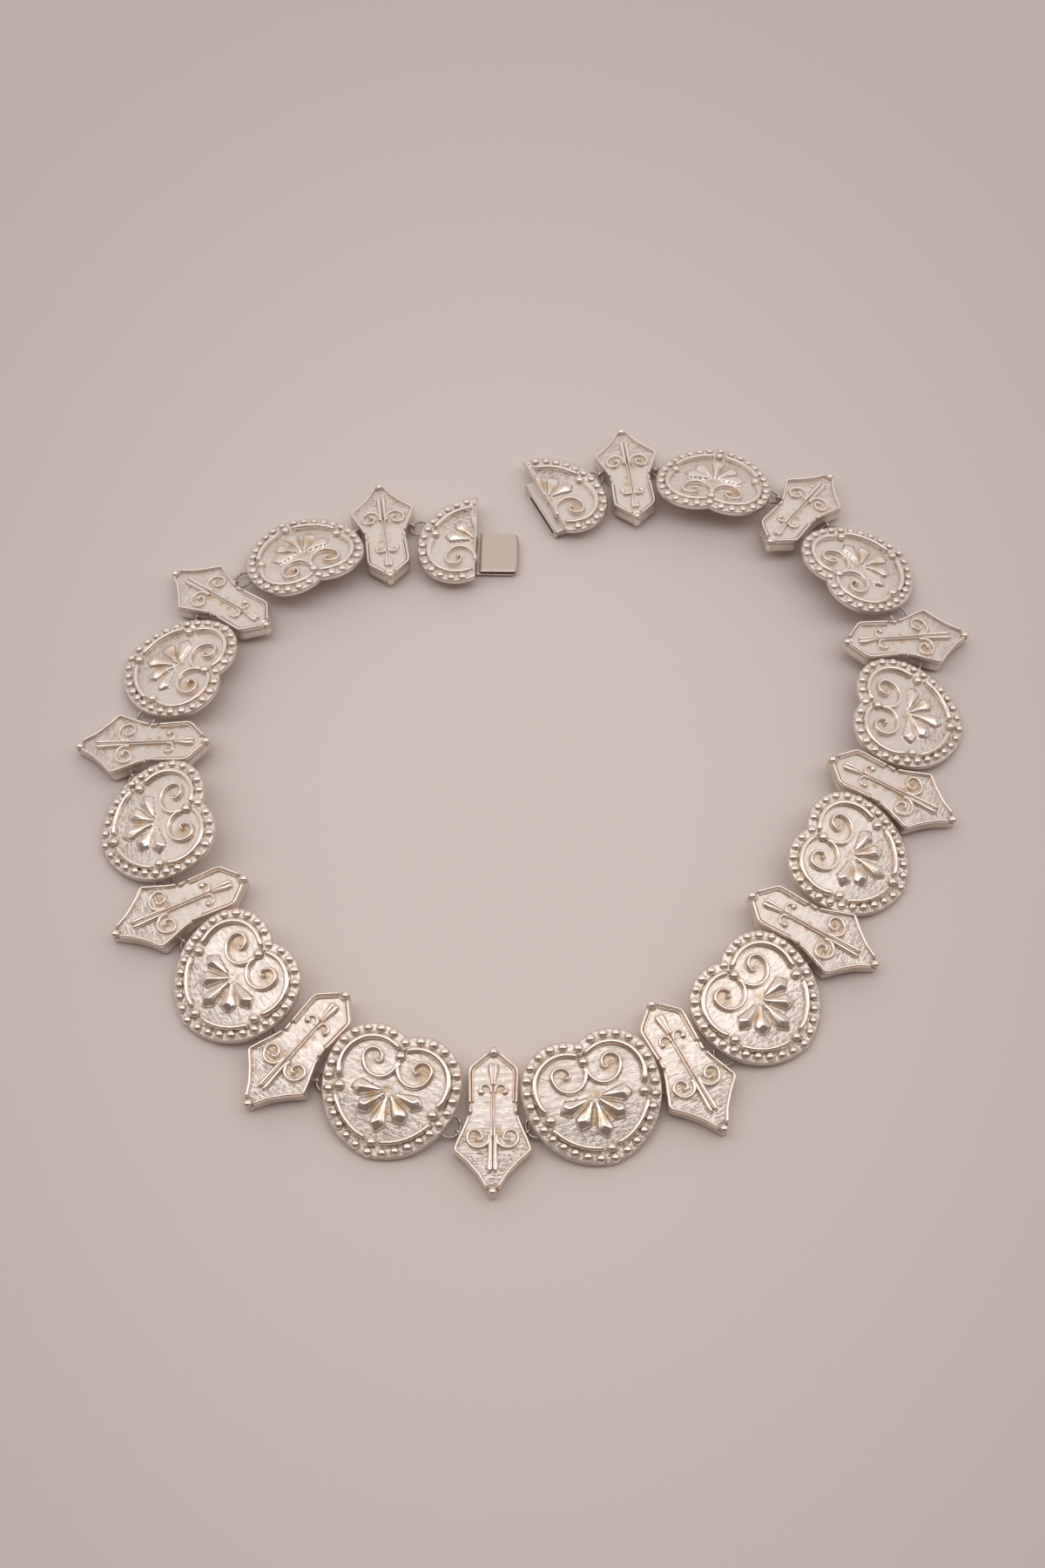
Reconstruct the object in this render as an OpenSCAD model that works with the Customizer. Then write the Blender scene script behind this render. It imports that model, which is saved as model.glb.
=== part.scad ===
/* [Heart panels] */
// Radius of each lobe of a heart's outline
lobe_r = 7.62; // [7.4:0.02:7.7]
// How far each lobe's centre stands to the side of, and above, the panel's centre
lobe_off = 4.2; // [4.0:0.1:4.4]
// Radius of the long curve from a lobe to the tip
side_r = 13.02; // [12.8:0.02:13.1]
// Angle at which a lobe runs into the long curve
side_turn = 17; // [15:1:19]
// Thickness of a heart's plate
heart_plate = 1.1; // [1.0:0.05:1.3]
// Radius of the small beads round the border
border_bead = 0.66; // [0.5:0.02:0.7]
// Distance from the outline to the middle of a border bead
border_inset = 0.7; // [0.68:0.02:0.8]
// Radius of the bead at the cusp and of the two side beads
big_bead = 0.85; // [0.7:0.05:0.9]
// Length of the middle petal
petal_len = 7.1; // [6.5:0.1:7.3]
// Half the width of a petal
petal_half = 1.2; // [1.0:0.05:1.25]

/* [Shield panels] */
// Height of a shield's ground over its back
shield_ground = 2.4; // [2.0:0.1:2.6]
// Height of a shield's rim over its back
shield_rim = 3.1; // [2.8:0.1:3.3]
// Width of a shield's rim wire
rim_w = 0.85; // [0.7:0.05:0.95]

/* [Relief] */
// Width of the wire that a heart's volutes are made of
volute_w = 0.7; // [0.5:0.05:0.8]
// Height of the relief over a heart's back
heart_relief = 1.9; // [1.7:0.05:2.0]

/* [Links] */
// Radius of a jump ring, to the middle of its wire
ring_r = 1.9; // [1.85:0.05:2.0]
// Radius of a jump ring's wire
ring_wire = 0.2; // [0.16:0.02:0.22]
// Radius of a soldered eye, to the middle of its wire
eye_r = 0.6; // [0.58:0.02:0.64]
// Radius of an eye's wire
eye_wire = 0.22; // [0.2:0.02:0.22]

/* [Clasp] */
// Height at which the two half hearts of the clasp lie
clasp_lift = 2.4; // [2.4:0.1:2.8]
// How far the spring tongue reaches from the cut edge
tongue_len = 8.5; // [7:0.1:9]
// Width of the spring tongue
tongue_w = 10; // [9:0.5:10]

/* [Hidden] */
$fn = 40;

// Columns of the panels' table: node name, kind of panel, place of its centre (mm),
// heading of its width from the X axis (degrees) and lean of its inner end (degrees)
NAME = 0;
KIND = 1;
PX = 2;
PY = 3;
HEAD = 4;
LEAN = 5;

// One row for each panel, round the necklace from the front shield, as they lie in the photo
PANELS = [
    ["shield_front", "shield", -6.5, -71.0, 0, 0],
    ["heart_right_1", "heart", 11.0, -68.5, 19, 15],
    ["shield_right_1", "shield", 26.5, -61.5, 28, 5],
    ["heart_right_2", "heart", 40.5, -50.5, 47, 15],
    ["shield_right_2", "shield", 50.0, -36.0, 61, 8],
    ["heart_right_3", "heart", 59.5, -21.5, 60, 15],
    ["shield_right_3", "shield", 67.5, -6.5, 62, 6],
    ["heart_right_4", "heart", 73.5, 10.0, 80, 14],
    ["shield_right_4", "shield", 74.0, 28.0, 99, 7],
    ["heart_right_5", "heart", 68.0, 46.5, 122, 15],
    ["shield_right_5", "shield", 56.0, 61.0, 144, 7],
    ["heart_right_6", "heart", 39.0, 70.0, 168, 15],
    ["shield_right_6", "shield", 21.0, 71.5, 186, 3],
    ["clasp_half_box", "box half", 3.0, 65.5, 206, 0],
    ["clasp_half_tongue", "tongue half", -11.0, 54.5, 179, 0],
    ["shield_left_5", "shield", -30.0, 56.0, 188, 3],
    ["heart_left_5", "heart", -47.0, 50.5, 209, 14],
    ["shield_left_4", "shield", -62.0, 38.0, 234, 5],
    ["heart_left_4", "heart", -70.0, 22.0, 251, 13],
    ["shield_left_3", "shield", -73.5, 3.5, 269, 6],
    ["heart_left_3", "heart", -70.0, -14.5, 289, 17],
    ["shield_left_2", "shield", -63.0, -31.0, 294, 5],
    ["heart_left_2", "heart", -53.0, -46.5, 310, 18],
    ["shield_left_1", "shield", -40.0, -58.5, 320, 6],
    ["heart_left_1", "heart", -24.5, -67.5, 341, 15]
];
count = len(PANELS);

// Shift that brings the middle of the whole box onto the Z axis
centring = [-0.18, -0.27];

// Right half of a shield's outline, from its top point down to its lower point
SHIELD_HALF = [
    [0, 12.9], [1.0, 12.1], [4.1, 9.25], [4.35, 8.3], [4.15, 1.2], [4.75, -0.6],
    [5.65, -3.0], [6.4, -5.5], [4.3, -7.6], [2.4, -9.8], [1.0, -12.3], [0, -13.2]
];
shield_tip = -13.2;

// The joints run from each panel to the next, and none joins the clasp's two halves
JOINTS = [for (i = [0:count - 1]) if (PANELS[i][KIND] != "box half") i];

// Points and paths in a panel's plane

// Points of an arc round c, from angle a to angle b
function arc(c, r, a, b, steps) =
    [for (i = [0:steps]) c + r * [cos(a + (b - a) * i / steps), sin(a + (b - a) * i / steps)]];

// Closed outline of a right half that starts and ends on the Y axis
function both_halves(half) =
    concat(half, [for (i = [len(half) - 2:-1:1]) [-half[i].x, half[i].y]]);

function unit(v) = v / norm(v);
function left_of(d) = [-d.y, d.x];

// Direction of a path at its point i
function heading(path, i) =
    unit(path[min(i + 1, len(path) - 1)] - path[max(i - 1, 0)]);

// Outline of a band of width w along a path
function band(path, w) = concat(
    [for (i = [0:len(path) - 1]) path[i] + left_of(heading(path, i)) * w / 2],
    [for (i = [len(path) - 1:-1:0]) path[i] - left_of(heading(path, i)) * w / 2]
);

// Corner b of a clockwise outline between a and c, moved inwards by d
function inner_corner(a, b, c, d) =
    let (na = -left_of(unit(b - a)), nc = -left_of(unit(c - b)))
    b + d * (na + nc) / (1 + na * nc);

function inset(pts, d) = [
    for (i = [0:len(pts) - 1])
        inner_corner(pts[(i + len(pts) - 1) % len(pts)], pts[i], pts[(i + 1) % len(pts)], d)
];

// Heart outline: a lobe's arc, then the long arc that it runs into, down to the tip
lobe_c = [lobe_off, lobe_off];
side_c = lobe_c - (side_r - lobe_r) * [cos(side_turn), sin(side_turn)];
notch_angle = 180 - acos(lobe_c.x / lobe_r);
tip_angle = -acos(-side_c.x / side_r);
heart_tip = side_c.y + side_r * sin(tip_angle);
heart_half = concat(
    arc(lobe_c, lobe_r, notch_angle, side_turn + 8, 11),
    arc(side_c, side_r, side_turn, tip_angle, 10)
);
heart_outline = both_halves(heart_half);
shield_outline = both_halves(SHIELD_HALF);

// Border beads: six round each lobe, eight down each side, one at the notch and one at the tip
lobe_beads = 6;
side_beads = 8;
lobe_first = 104;
lobe_step = 19.4;
side_first = 1;
side_step = 10.7;
border_spots = concat(
    [for (k = [0:lobe_beads - 1]) let (a = lobe_first - k * lobe_step)
        lobe_c + (lobe_r - border_inset) * [cos(a), sin(a)]],
    [for (k = [0:side_beads - 1]) let (a = side_first - k * side_step)
        side_c + (side_r - border_inset) * [cos(a), sin(a)]]
);
notch_bead = [0, 9.85];
tip_bead = [0, heart_tip + border_inset + 0.1];

// Bigger beads where the rim's four arcs meet
cusp_spot = [0, 7.35];
foot_spot = [0, -7.7];
flank_spot = [8.45, -0.35];

// Raised rim inside the border: an arc round each lobe and one down each side
rim_band = 0.75;
upper_rim = arc([3.95, 3.85], 5.7, 119, -24, 12);
lower_rim = arc([-0.6, 2.8], 10.3, -29, -77, 5);

// A heart's volute: up past the cusp, round below, over the top and into the middle
heart_volute = concat(
    [[0.35, 6.9]],
    arc([3.1, 5.95], 3.0, 186, 360, 10),
    arc([4.5, 5.95], 1.6, 20, 180, 8),
    arc([3.45, 5.95], 0.55, 225, 330, 3)
);
volute_knob = [3.7, 5.6];

// A shield's upper scroll and lower volute
shield_scroll = arc([1.3, 5.2], 0.97, 197, -20, 9);
scroll_knob = [2.05, 4.85];
shield_volute = concat(
    arc([2.45, -3.2], 1.85, 170, 360, 10),
    arc([3.0, -3.2], 1.25, 20, 180, 7),
    arc([2.25, -3.2], 0.5, 225, 330, 3)
);
shield_knob = [2.5, -3.3];

// Shapes of the relief

module on_both_sides() {
    children();
    mirror([1, 0, 0]) children();
}

module bead(spot, r, z) translate([spot.x, spot.y, z]) sphere(r);

// Relief that rises from inside the plate to the height top
module raised(base, top) translate([0, 0, base]) linear_extrude(top - base) children();

// Petal with a ridge down its middle, from a narrow stem at the origin to a blunt end at -Y
module petal(length, half, base, eave, ridge) {
    stem = 0.15;
    side = [
        [stem, -0.8], [stem * 1.6, -0.35 * length], [half * 0.62, -0.6 * length],
        [half, -0.82 * length], [half * 0.75, -0.93 * length], [0, -length]
    ];
    slope = (ridge - eave) / half;
    reach = half * 1.3;
    intersection() {
        raised(base, ridge + 1) polygon(both_halves(concat([[0, -0.8]], side)));
        translate([0, 1, 0]) rotate([90, 0, 0]) linear_extrude(length + 2)
            polygon([
                [-reach, base - 1], [reach, base - 1], [reach, ridge - slope * reach],
                [0, ridge], [-reach, ridge - slope * reach]
            ]);
    }
}

// Heart panel, with its back in the plane z = 0

module palmette(base) {
    hub = [0, 1.3];
    turn_near = 42;
    turn_far = 81;
    eave = heart_plate + 0.35;
    translate([hub.x, hub.y, 0]) {
        petal(petal_len, petal_half, base, eave, heart_relief);
        on_both_sides() rotate([0, 0, turn_near])
            petal(petal_len * 0.85, petal_half, base, eave, heart_relief);
        on_both_sides() rotate([0, 0, turn_far])
            petal(petal_len * 0.89, petal_half, base, eave, heart_relief);
    }
    bead(hub, 0.75, heart_plate);
}

module heart_panel() {
    base = heart_plate / 2;
    bead_z = heart_plate + 0.05;
    union() {
        linear_extrude(heart_plate) polygon(heart_outline);
        bead(notch_bead, border_bead, bead_z);
        bead(tip_bead, border_bead, bead_z);
        on_both_sides() for (spot = border_spots) bead(spot, border_bead, bead_z);
        on_both_sides() raised(base, heart_relief) polygon(band(upper_rim, rim_band));
        on_both_sides() raised(base, heart_relief) polygon(band(lower_rim, rim_band));
        on_both_sides() raised(base, heart_relief - 0.05) polygon(band(heart_volute, volute_w));
        on_both_sides() bead(volute_knob, 0.5, heart_relief - 0.3);
        palmette(base);
        bead(cusp_spot, big_bead, bead_z);
        bead(foot_spot, big_bead - 0.1, bead_z);
        on_both_sides() bead(flank_spot, big_bead, bead_z);
    }
}

// Half of a heart panel on the side that s says, 1 or -1, cut straight down its middle
module half_heart(s) {
    big = 40;
    intersection() {
        heart_panel();
        translate([s > 0 ? 0 : -big, -big / 2, -1]) cube([big, big, 5]);
    }
}

// Shield panel, with its flat back in the plane z = 0

// Beads at the two ends, and the pair that makes each side's drop-shaped bead
end_bead = 0.73;
end_bead_y = [12.1, -12.3];
waist_bead = [3.85, 1.8];
waist_split = 0.3;

// Rim wire along the outline, open where the beads stand
module shield_rim_wire(base) {
    side_gap = [2.4, 2.2];
    difference() {
        raised(base, shield_rim) difference() {
            polygon(shield_outline);
            polygon(inset(shield_outline, rim_w));
        }
        for (y = end_bead_y) translate([0, y, shield_ground]) cylinder(h = 2, r = 1);
        on_both_sides() translate([3, waist_bead.y - side_gap.y / 2, shield_ground])
            cube([side_gap.x, side_gap.y, 2]);
    }
}

module shield_ornament(base) {
    top = shield_rim - 0.15;
    wire = 0.29;
    wire_gap = 0.12;
    stem_top = 5.6;
    stem_foot = -3.4;
    translate([0, 6.0, 0]) rotate([0, 0, 180]) petal(4.1, 0.9, base, shield_ground + 0.3, top);
    on_both_sides() translate([wire_gap / 2, stem_foot, base])
        cube([wire, stem_top - stem_foot, top - base]);
    on_both_sides() raised(base, top) polygon(band(shield_scroll, 0.5));
    on_both_sides() bead(scroll_knob, 0.42, shield_ground + 0.2);
    on_both_sides() raised(base, top) polygon(band(shield_volute, 0.58));
    on_both_sides() bead(shield_knob, 0.4, shield_ground + 0.25);
    translate([0, -3.2, 0]) petal(6.3, 0.9, base, shield_ground + 0.3, shield_rim - 0.05);
}

module shield_panel() {
    base = shield_ground / 2;
    union() {
        linear_extrude(shield_ground) polygon(shield_outline);
        shield_rim_wire(base);
        shield_ornament(base);
        for (y = end_bead_y) bead([0, y], end_bead, shield_ground + 0.05);
        on_both_sides() {
            bead(waist_bead + [0, waist_split], 0.42, shield_ground + 0.2);
            bead(waist_bead - [0, waist_split], 0.35, shield_ground + 0.2);
        }
    }
}

// Clasp: a folded spring tongue on one half heart, and the box that takes it on the other

// Thickness of the tongue's leaf, its lowest and highest level under the plate's back, and the
// middle of its width
leaf = 0.5;
tongue_z = [-2.0, -0.4];
tongue_y = 3;

// The tongue's side profile: the lower leaf, the fold at its free end and the upper leaf
tongue_fold_r = (tongue_z[1] - tongue_z[0]) / 2;
tongue_path = concat(
    [[0.3, tongue_z[0] + leaf / 2]],
    arc([tongue_fold_r - tongue_len, (tongue_z[0] + tongue_z[1]) / 2], tongue_fold_r - leaf / 2, 270, 90, 6),
    [[-0.8, tongue_z[1] - leaf / 2]]
);

module spring_tongue() {
    corner = 1;
    solder_len = 4;
    intersection() {
        translate([0, tongue_y + tongue_w / 2, 0]) rotate([90, 0, 0])
            linear_extrude(tongue_w) polygon(band(tongue_path, leaf));
        raised(-4, 2) polygon(concat(
            [[2, tongue_y - tongue_w / 2], [2, tongue_y + tongue_w / 2]],
            arc([-tongue_len + corner, tongue_y + tongue_w / 2 - corner], corner, 90, 180, 3),
            arc([-tongue_len + corner, tongue_y - tongue_w / 2 + corner], corner, 180, 270, 3)
        ));
    }
    translate([0.2, tongue_y - tongue_w / 2, tongue_z[0]])
        cube([solder_len, tongue_w, heart_plate / 2 - tongue_z[0]]);
}

// The box under the other half, open towards the tongue
module catch_box() {
    wall = 0.35;
    front = 2;
    depth = 7;
    lo_y = -5;
    hi_y = 9.3;
    rounding = 0.7;
    play = 0.3;
    difference() {
        translate([0, hi_y, 0]) rotate([90, 0, 0]) linear_extrude(hi_y - lo_y) polygon([
            [-depth, -clasp_lift], [front - rounding, -clasp_lift], [front, rounding - clasp_lift],
            [front, -rounding - 0.05], [front - rounding, -0.05], [-0.6, -0.05],
            [-0.6, heart_plate / 2], [-depth, heart_plate / 2]
        ]);
        translate([-depth + wall, tongue_y - tongue_w / 2 - play, tongue_z[0] - 0.05])
            cube([depth + front, tongue_w + 2 * play, tongue_z[1] - tongue_z[0] + 0.1]);
    }
}

// Places in the whole necklace

function axis_u(p) = [cos(p[HEAD]), sin(p[HEAD]), 0];
function axis_v(p) = [-sin(p[HEAD]) * cos(p[LEAN]), cos(p[HEAD]) * cos(p[LEAN]), sin(p[LEAN])];
function axis_n(p) = [sin(p[HEAD]) * sin(p[LEAN]), -cos(p[HEAD]) * sin(p[LEAN]), cos(p[LEAN])];

function is_shield(p) = p[KIND] == "shield";
function is_half(p) = p[KIND] == "tongue half" || p[KIND] == "box half";

// A panel leans on its outer end, and a half heart lies level on its part of the clasp
function rest_z(p) =
    is_half(p) ? clasp_lift : -sin(p[LEAN]) * (is_shield(p) ? shield_tip : heart_tip);
function origin(p) = [p[PX] + centring.x, p[PY] + centring.y, rest_z(p)];
function to_world(p, q) = origin(p) + axis_u(p) * q.x + axis_v(p) * q.y + axis_n(p) * q.z;
function to_panel(p, w) =
    let (d = w - origin(p))
    [d * axis_u(p), d * axis_v(p), d * axis_n(p)];

// Height of a panel's back over the point w of the floor
function back_z(p, w) =
    let (d = w - origin(p))
    rest_z(p) + tan(p[LEAN]) * (d.y * cos(p[HEAD]) - d.x * sin(p[HEAD]));

module place(p) translate(origin(p)) rotate([0, 0, p[HEAD]]) rotate([p[LEAN], 0, 0]) children();

// Joint j runs from side +1 of panel j to side -1 of the next panel
function next_panel(j) = PANELS[(j + 1) % count];
function joint_shield(j) = is_shield(PANELS[j]) ? PANELS[j] : next_panel(j);
function joint_heart(j) = is_shield(PANELS[j]) ? next_panel(j) : PANELS[j];
function shield_side(j) = is_shield(PANELS[j]) ? 1 : -1;

// A shield's eye stands on its side wall, midway between the floor and the heart's back
eye_u = 5.85;
eye_v = -2.0;
function shield_eye(j) =
    let (s = joint_shield(j), flat = to_world(s, [shield_side(j) * eye_u, eye_v, 0]))
    let (rise = back_z(joint_heart(j), flat) / 2 - flat.z)
    to_world(s, [shield_side(j) * eye_u, eye_v, rise / cos(s[LEAN])]);

// A heart's eye hangs under its back, one ring's width from the shield's eye towards the volutes
eye_drop = -0.5;
eye_aim = [0, 2.8];
function heart_eye(j) =
    let (h = joint_heart(j), q = to_panel(h, shield_eye(j)))
    let (along = sqrt(pow(2 * ring_r, 2) - pow(q.z - eye_drop, 2)))
    let (spot = [q.x, q.y] + along * unit(eye_aim - [q.x, q.y]))
    to_world(h, [spot.x, spot.y, eye_drop]);

// Soldered eye of joint j at w, an upright ring in line with the joint
module eye(j, w) {
    run = heart_eye(j) - shield_eye(j);
    translate(w) rotate([0, 0, atan2(run.y, run.x)]) rotate([90, 0, 0])
        rotate_extrude() translate([eye_r, 0]) circle(eye_wire, $fn = 24);
}

module eyes(i) {
    last = (i + count - 1) % count;
    for (j = [i, last]) if (PANELS[j][KIND] != "box half")
        eye(j, is_shield(PANELS[i]) ? shield_eye(j) : heart_eye(j));
}

module panel(i) {
    p = PANELS[i];
    color("gainsboro") union() {
        place(p) {
            if (p[KIND] == "heart") heart_panel();
            if (p[KIND] == "shield") shield_panel();
            if (p[KIND] == "tongue half") {
                half_heart(1);
                spring_tongue();
            }
            if (p[KIND] == "box half") {
                half_heart(-1);
                catch_box();
            }
        }
        eyes(i);
    }
}

// Jump ring through the two eyes of joint j
module link(j) {
    a = shield_eye(j);
    b = heart_eye(j);
    x = unit(b - a);
    lean = axis_n(joint_heart(j)) + axis_n(joint_shield(j));
    z = unit(lean - (lean * x) * x);
    y = cross(z, x);
    c = (a + b) / 2;
    color("silver") multmatrix([
        [x.x, y.x, z.x, c.x], [x.y, y.y, z.y, c.y], [x.z, y.z, z.z, c.z], [0, 0, 0, 1]
    ]) rotate_extrude() translate([ring_r, 0]) circle(ring_wire, $fn = 24);
}

for (i = [0:count - 1]) panel(i);
for (k = [0:len(JOINTS) - 1]) link(JOINTS[k]);
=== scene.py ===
import math
from collections import namedtuple
from functools import partialmethod

import bmesh
import bpy
import numpy as np
from bpy.props import FloatProperty, FloatVectorProperty, PointerProperty
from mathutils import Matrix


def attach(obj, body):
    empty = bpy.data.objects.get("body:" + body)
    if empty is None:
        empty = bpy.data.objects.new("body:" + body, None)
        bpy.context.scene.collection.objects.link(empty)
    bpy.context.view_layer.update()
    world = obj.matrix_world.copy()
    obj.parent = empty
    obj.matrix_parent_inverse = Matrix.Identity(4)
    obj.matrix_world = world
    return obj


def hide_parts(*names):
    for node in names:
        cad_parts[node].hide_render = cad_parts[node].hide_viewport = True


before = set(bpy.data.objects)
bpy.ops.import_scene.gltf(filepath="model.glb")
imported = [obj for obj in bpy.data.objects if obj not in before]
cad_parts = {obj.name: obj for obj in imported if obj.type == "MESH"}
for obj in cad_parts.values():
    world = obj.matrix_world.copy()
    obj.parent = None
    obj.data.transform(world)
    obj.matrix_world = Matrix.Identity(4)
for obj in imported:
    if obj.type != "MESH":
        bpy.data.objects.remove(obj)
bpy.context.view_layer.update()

bl_info = {
    "name": "Panel Necklace",
    "version": (1, 0, 0),
    "blender": (4, 5, 0),
    "location": "View3D > Sidebar > Necklace",
    "description": "Casts the heart and shield panels of a silver necklace and lights them",
    "category": "Object",
}

MM = 0.001

# The panels as they lie: place of the centre in mm, heading of the width and lean in degrees
Panel = namedtuple("Panel", "name kind x y heading lean")
PANELS = [Panel(*row) for row in (
    ("shield_front", "shield", -6.5, -71.0, 0, 0),
    ("heart_right_1", "heart", 11.0, -68.5, 19, 15),
    ("shield_right_1", "shield", 26.5, -61.5, 28, 5),
    ("heart_right_2", "heart", 40.5, -50.5, 47, 15),
    ("shield_right_2", "shield", 50.0, -36.0, 61, 8),
    ("heart_right_3", "heart", 59.5, -21.5, 60, 15),
    ("shield_right_3", "shield", 67.5, -6.5, 62, 6),
    ("heart_right_4", "heart", 73.5, 10.0, 80, 14),
    ("shield_right_4", "shield", 74.0, 28.0, 99, 7),
    ("heart_right_5", "heart", 68.0, 46.5, 122, 15),
    ("shield_right_5", "shield", 56.0, 61.0, 144, 7),
    ("heart_right_6", "heart", 39.0, 70.0, 168, 15),
    ("shield_right_6", "shield", 21.0, 71.5, 186, 3),
    ("clasp_half_box", "box half", 3.0, 65.5, 206, 0),
    ("clasp_half_tongue", "tongue half", -11.0, 54.5, 179, 0),
    ("shield_left_5", "shield", -30.0, 56.0, 188, 3),
    ("heart_left_5", "heart", -47.0, 50.5, 209, 14),
    ("shield_left_4", "shield", -62.0, 38.0, 234, 5),
    ("heart_left_4", "heart", -70.0, 22.0, 251, 13),
    ("shield_left_3", "shield", -73.5, 3.5, 269, 6),
    ("heart_left_3", "heart", -70.0, -14.5, 289, 17),
    ("shield_left_2", "shield", -63.0, -31.0, 294, 5),
    ("heart_left_2", "heart", -53.0, -46.5, 310, 18),
    ("shield_left_1", "shield", -40.0, -58.5, 320, 6),
    ("heart_left_1", "heart", -24.5, -67.5, 341, 15),
)]
# Indices of the panels that are joined to the next one: all but the clasp's box half
JOINTS = [index for index, panel in enumerate(PANELS) if panel.kind != "box half"]
# Shift in mm that brings the middle of the whole box onto the Z axis
CENTRING = np.array([-0.18, -0.27])
# Seed of the first panel's chance; each panel after it has the next one
SEED = 100
# Places in mm from front to back between which panels go from worn bright to dull
BRIGHT_Y, DULL_Y = -60, 45

# A wire or lobe laid on a face: its path, half widths along it and the heights of its foot and back in
# mm, and how full its section is: less than 1 is flat on its back and steep at its sides
Wire = namedtuple("Wire", "path half low high full")
# Beads on a face: their middles, radii and the height of their feet in mm, and their lean in degrees
Beads = namedtuple("Beads", "middles radii base lean")
# Arcs of the wires on the right half in mm; angles in degrees, widths at both ends
Arc = namedtuple("Arc", "x y radius start end first_width last_width")

HEART_RIM = [Arc(3.95, 3.85, 5.7, 121, -26, 1.05, 1.25), Arc(-0.6, 2.8, 10.3, -29, -77, 1.02, 0.95)]
HEART_VOLUTE = [
    Arc(3.1, 5.95, 3.0, 177, 360, 0.95, 0.78), Arc(4.5, 5.95, 1.6, 0, 180, 0.78, 0.62),
    Arc(3.45, 5.95, 0.55, 180, 300, 0.62, 0.62)]
# Cells across a heart's grid
HEART_CELLS = 120
# Middles of the heart's three kinds of big bead, of the volutes' knobs and of the palmette, in mm
CUSP, FOOT, FLANK, KNOB, HUB = (0, 7.35), (0, -7.7), (8.45, -0.35), (3.7, 5.6), (0, 1.3)
# How far in from the outline the border's beads stand in mm, their lean, and the notch's bead
BEAD_INSET, BEAD_LEAN, NOTCH = 0.74, 18, (0, 9.95)
# The raised edge along a cut heart in mm: half its width, how far above the tip it begins, where it
# ends and its rise over the plate, and how near the cut no bead stands
CUT_HALF, CUT_FOOT, CUT_TOP, CUT_RISE, CUT_ROOM = 0.24, 0.9, 9.3, 0.35, 0.3
# The petals' turns from straight down, in degrees, their lengths as shares of the middle one, and where
# on its length each begins
PETAL_TURNS = ((0, 1.0, 0.12), (42, 0.86, 0.14), (81, 0.9, 0.2))
# Middles and radii in mm of the golden spots on the right half: in the volutes and between the petals
HEART_GOLD = ((4.2, 5.8, 1.9), (1.0, -2.2, 1.3), (2.4, -0.6, 1.2), (0.6, 1.6, 0.8))

# Right half of a shield's outline in mm, from the lower point to the upper one
SHIELD_V = [-13.2, -12.3, -9.8, -7.6, -5.5, -3.0, -0.6, 1.2, 8.3, 9.25, 12.1, 12.9]
SHIELD_U = [0.0, 1.0, 2.5, 4.45, 6.75, 5.75, 4.75, 4.2, 4.45, 4.2, 1.0, 0.0]
SHIELD_CORNERS = np.stack([SHIELD_U, SHIELD_V], 1)
# Radius of the round tabs at its points, and how far its corners are eased up and down, in mm
TAB, CORNER_EASE = 0.8, 0.42
SHIELD_SCROLL = [Arc(1.3, 5.1, 0.97, 197, 10, 0.66, 0.64), Arc(1.8, 5.19, 0.46, 10, -60, 0.64, 0.64)]
SHIELD_VOLUTE = [
    Arc(2.45, -3.2, 1.85, 170, 360, 0.8, 0.72), Arc(3.05, -3.2, 1.25, 0, 180, 0.72, 0.62),
    Arc(2.3, -3.2, 0.5, 180, 300, 0.62, 0.76)]
# Straight wires and lobes of a shield on the right half, as stations along them: place and half width
SHIELD_STEM = ((0.29, -3.9, 0.21), (0.25, 5.8, 0.2))
SHIELD_LOBES = (
    ((0.2, 6.1, 0.22), (0.3, 7.4, 0.38), (0.42, 8.8, 0.6), (0.38, 9.5, 0.56)),
    ((0.36, -3.3, 0.3), (0.44, -4.6, 0.44), (0.47, -6.6, 0.47), (0.52, -8.2, 0.54), (0.48, -8.9, 0.42)),
    ((4.02, 2.45, 0.16), (3.9, 1.8, 0.4), (3.86, 1.25, 0.45)))
# Rows and columns of a shield's grid
SHIELD_GRID = (155, 71)
# Heights of a shield's two end beads on its middle line and of the tear at its waist, and the ball at
# the end of its scroll, in mm
END_BEADS, WAIST = (12.2, -12.5), 1.7
SCROLL_BALL = np.array([2.06, 4.8])
# Middles and radii in mm of a shield's golden spots: in the volutes and scrolls and along the stem
SHIELD_GOLD = ((2.6, -3.2, 1.5), (1.4, 5.0, 0.9), (0.9, -2.0, 0.8), (0.8, 1.0, 0.6), (1.0, 3.0, 0.7))

# A shield's eye stands on its side wall, and a heart's eye hangs under its back, towards this point
EYE_U, EYE_V, EYE_DROP = 5.85, -2.0, -0.5
EYE_AIM = np.array([0, 2.8])
# Levels of the folded tongue's underside and top, the middle of its width, and where its solder pad
# begins and ends, in mm
TONGUE_LOW, TONGUE_HIGH, TONGUE_V = -2.0, -0.4, 3.0
PAD_FROM, PAD_TO = 0.2, 4.2

# A wall's levels from the foot up: share of the face's height, then height and pull inwards as shares
# of the easing at the foot, and how much the recess mark darkens it: most in a band just under the
# face's edge, and a little at the foot
WALL_EASE = 0.14
WALL_LEVELS = np.array([
    [0, 0, 1, 0.3], [0, 0.3, 0.45, 0.1], [0, 1, 0, 0], [0.6, 0, 0, 0], [0.85, 0, 0, 0.9], [1, 0, 0, 0.9]])

# The camera in mm and degrees: what it looks at, how far off and how high above the floor it is
CAMERA_AIM = np.array([-1.70, -3.52, 0.0])
CAMERA_DISTANCE = 331.52
CAMERA_ELEVATION = 58.629
# A picture 1800 pixels tall with a focal length of 2000 pixels, on a sensor 36 mm tall
CAMERA_LENS = 40.0
SENSOR_HEIGHT = 36.0
SENSOR_WIDTH = SENSOR_HEIGHT * 1200 / 1800
# Half the floor's side in m, and its grid's lines each way
FLOOR_HALF, FLOOR_LINES = 1.5, 13
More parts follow.
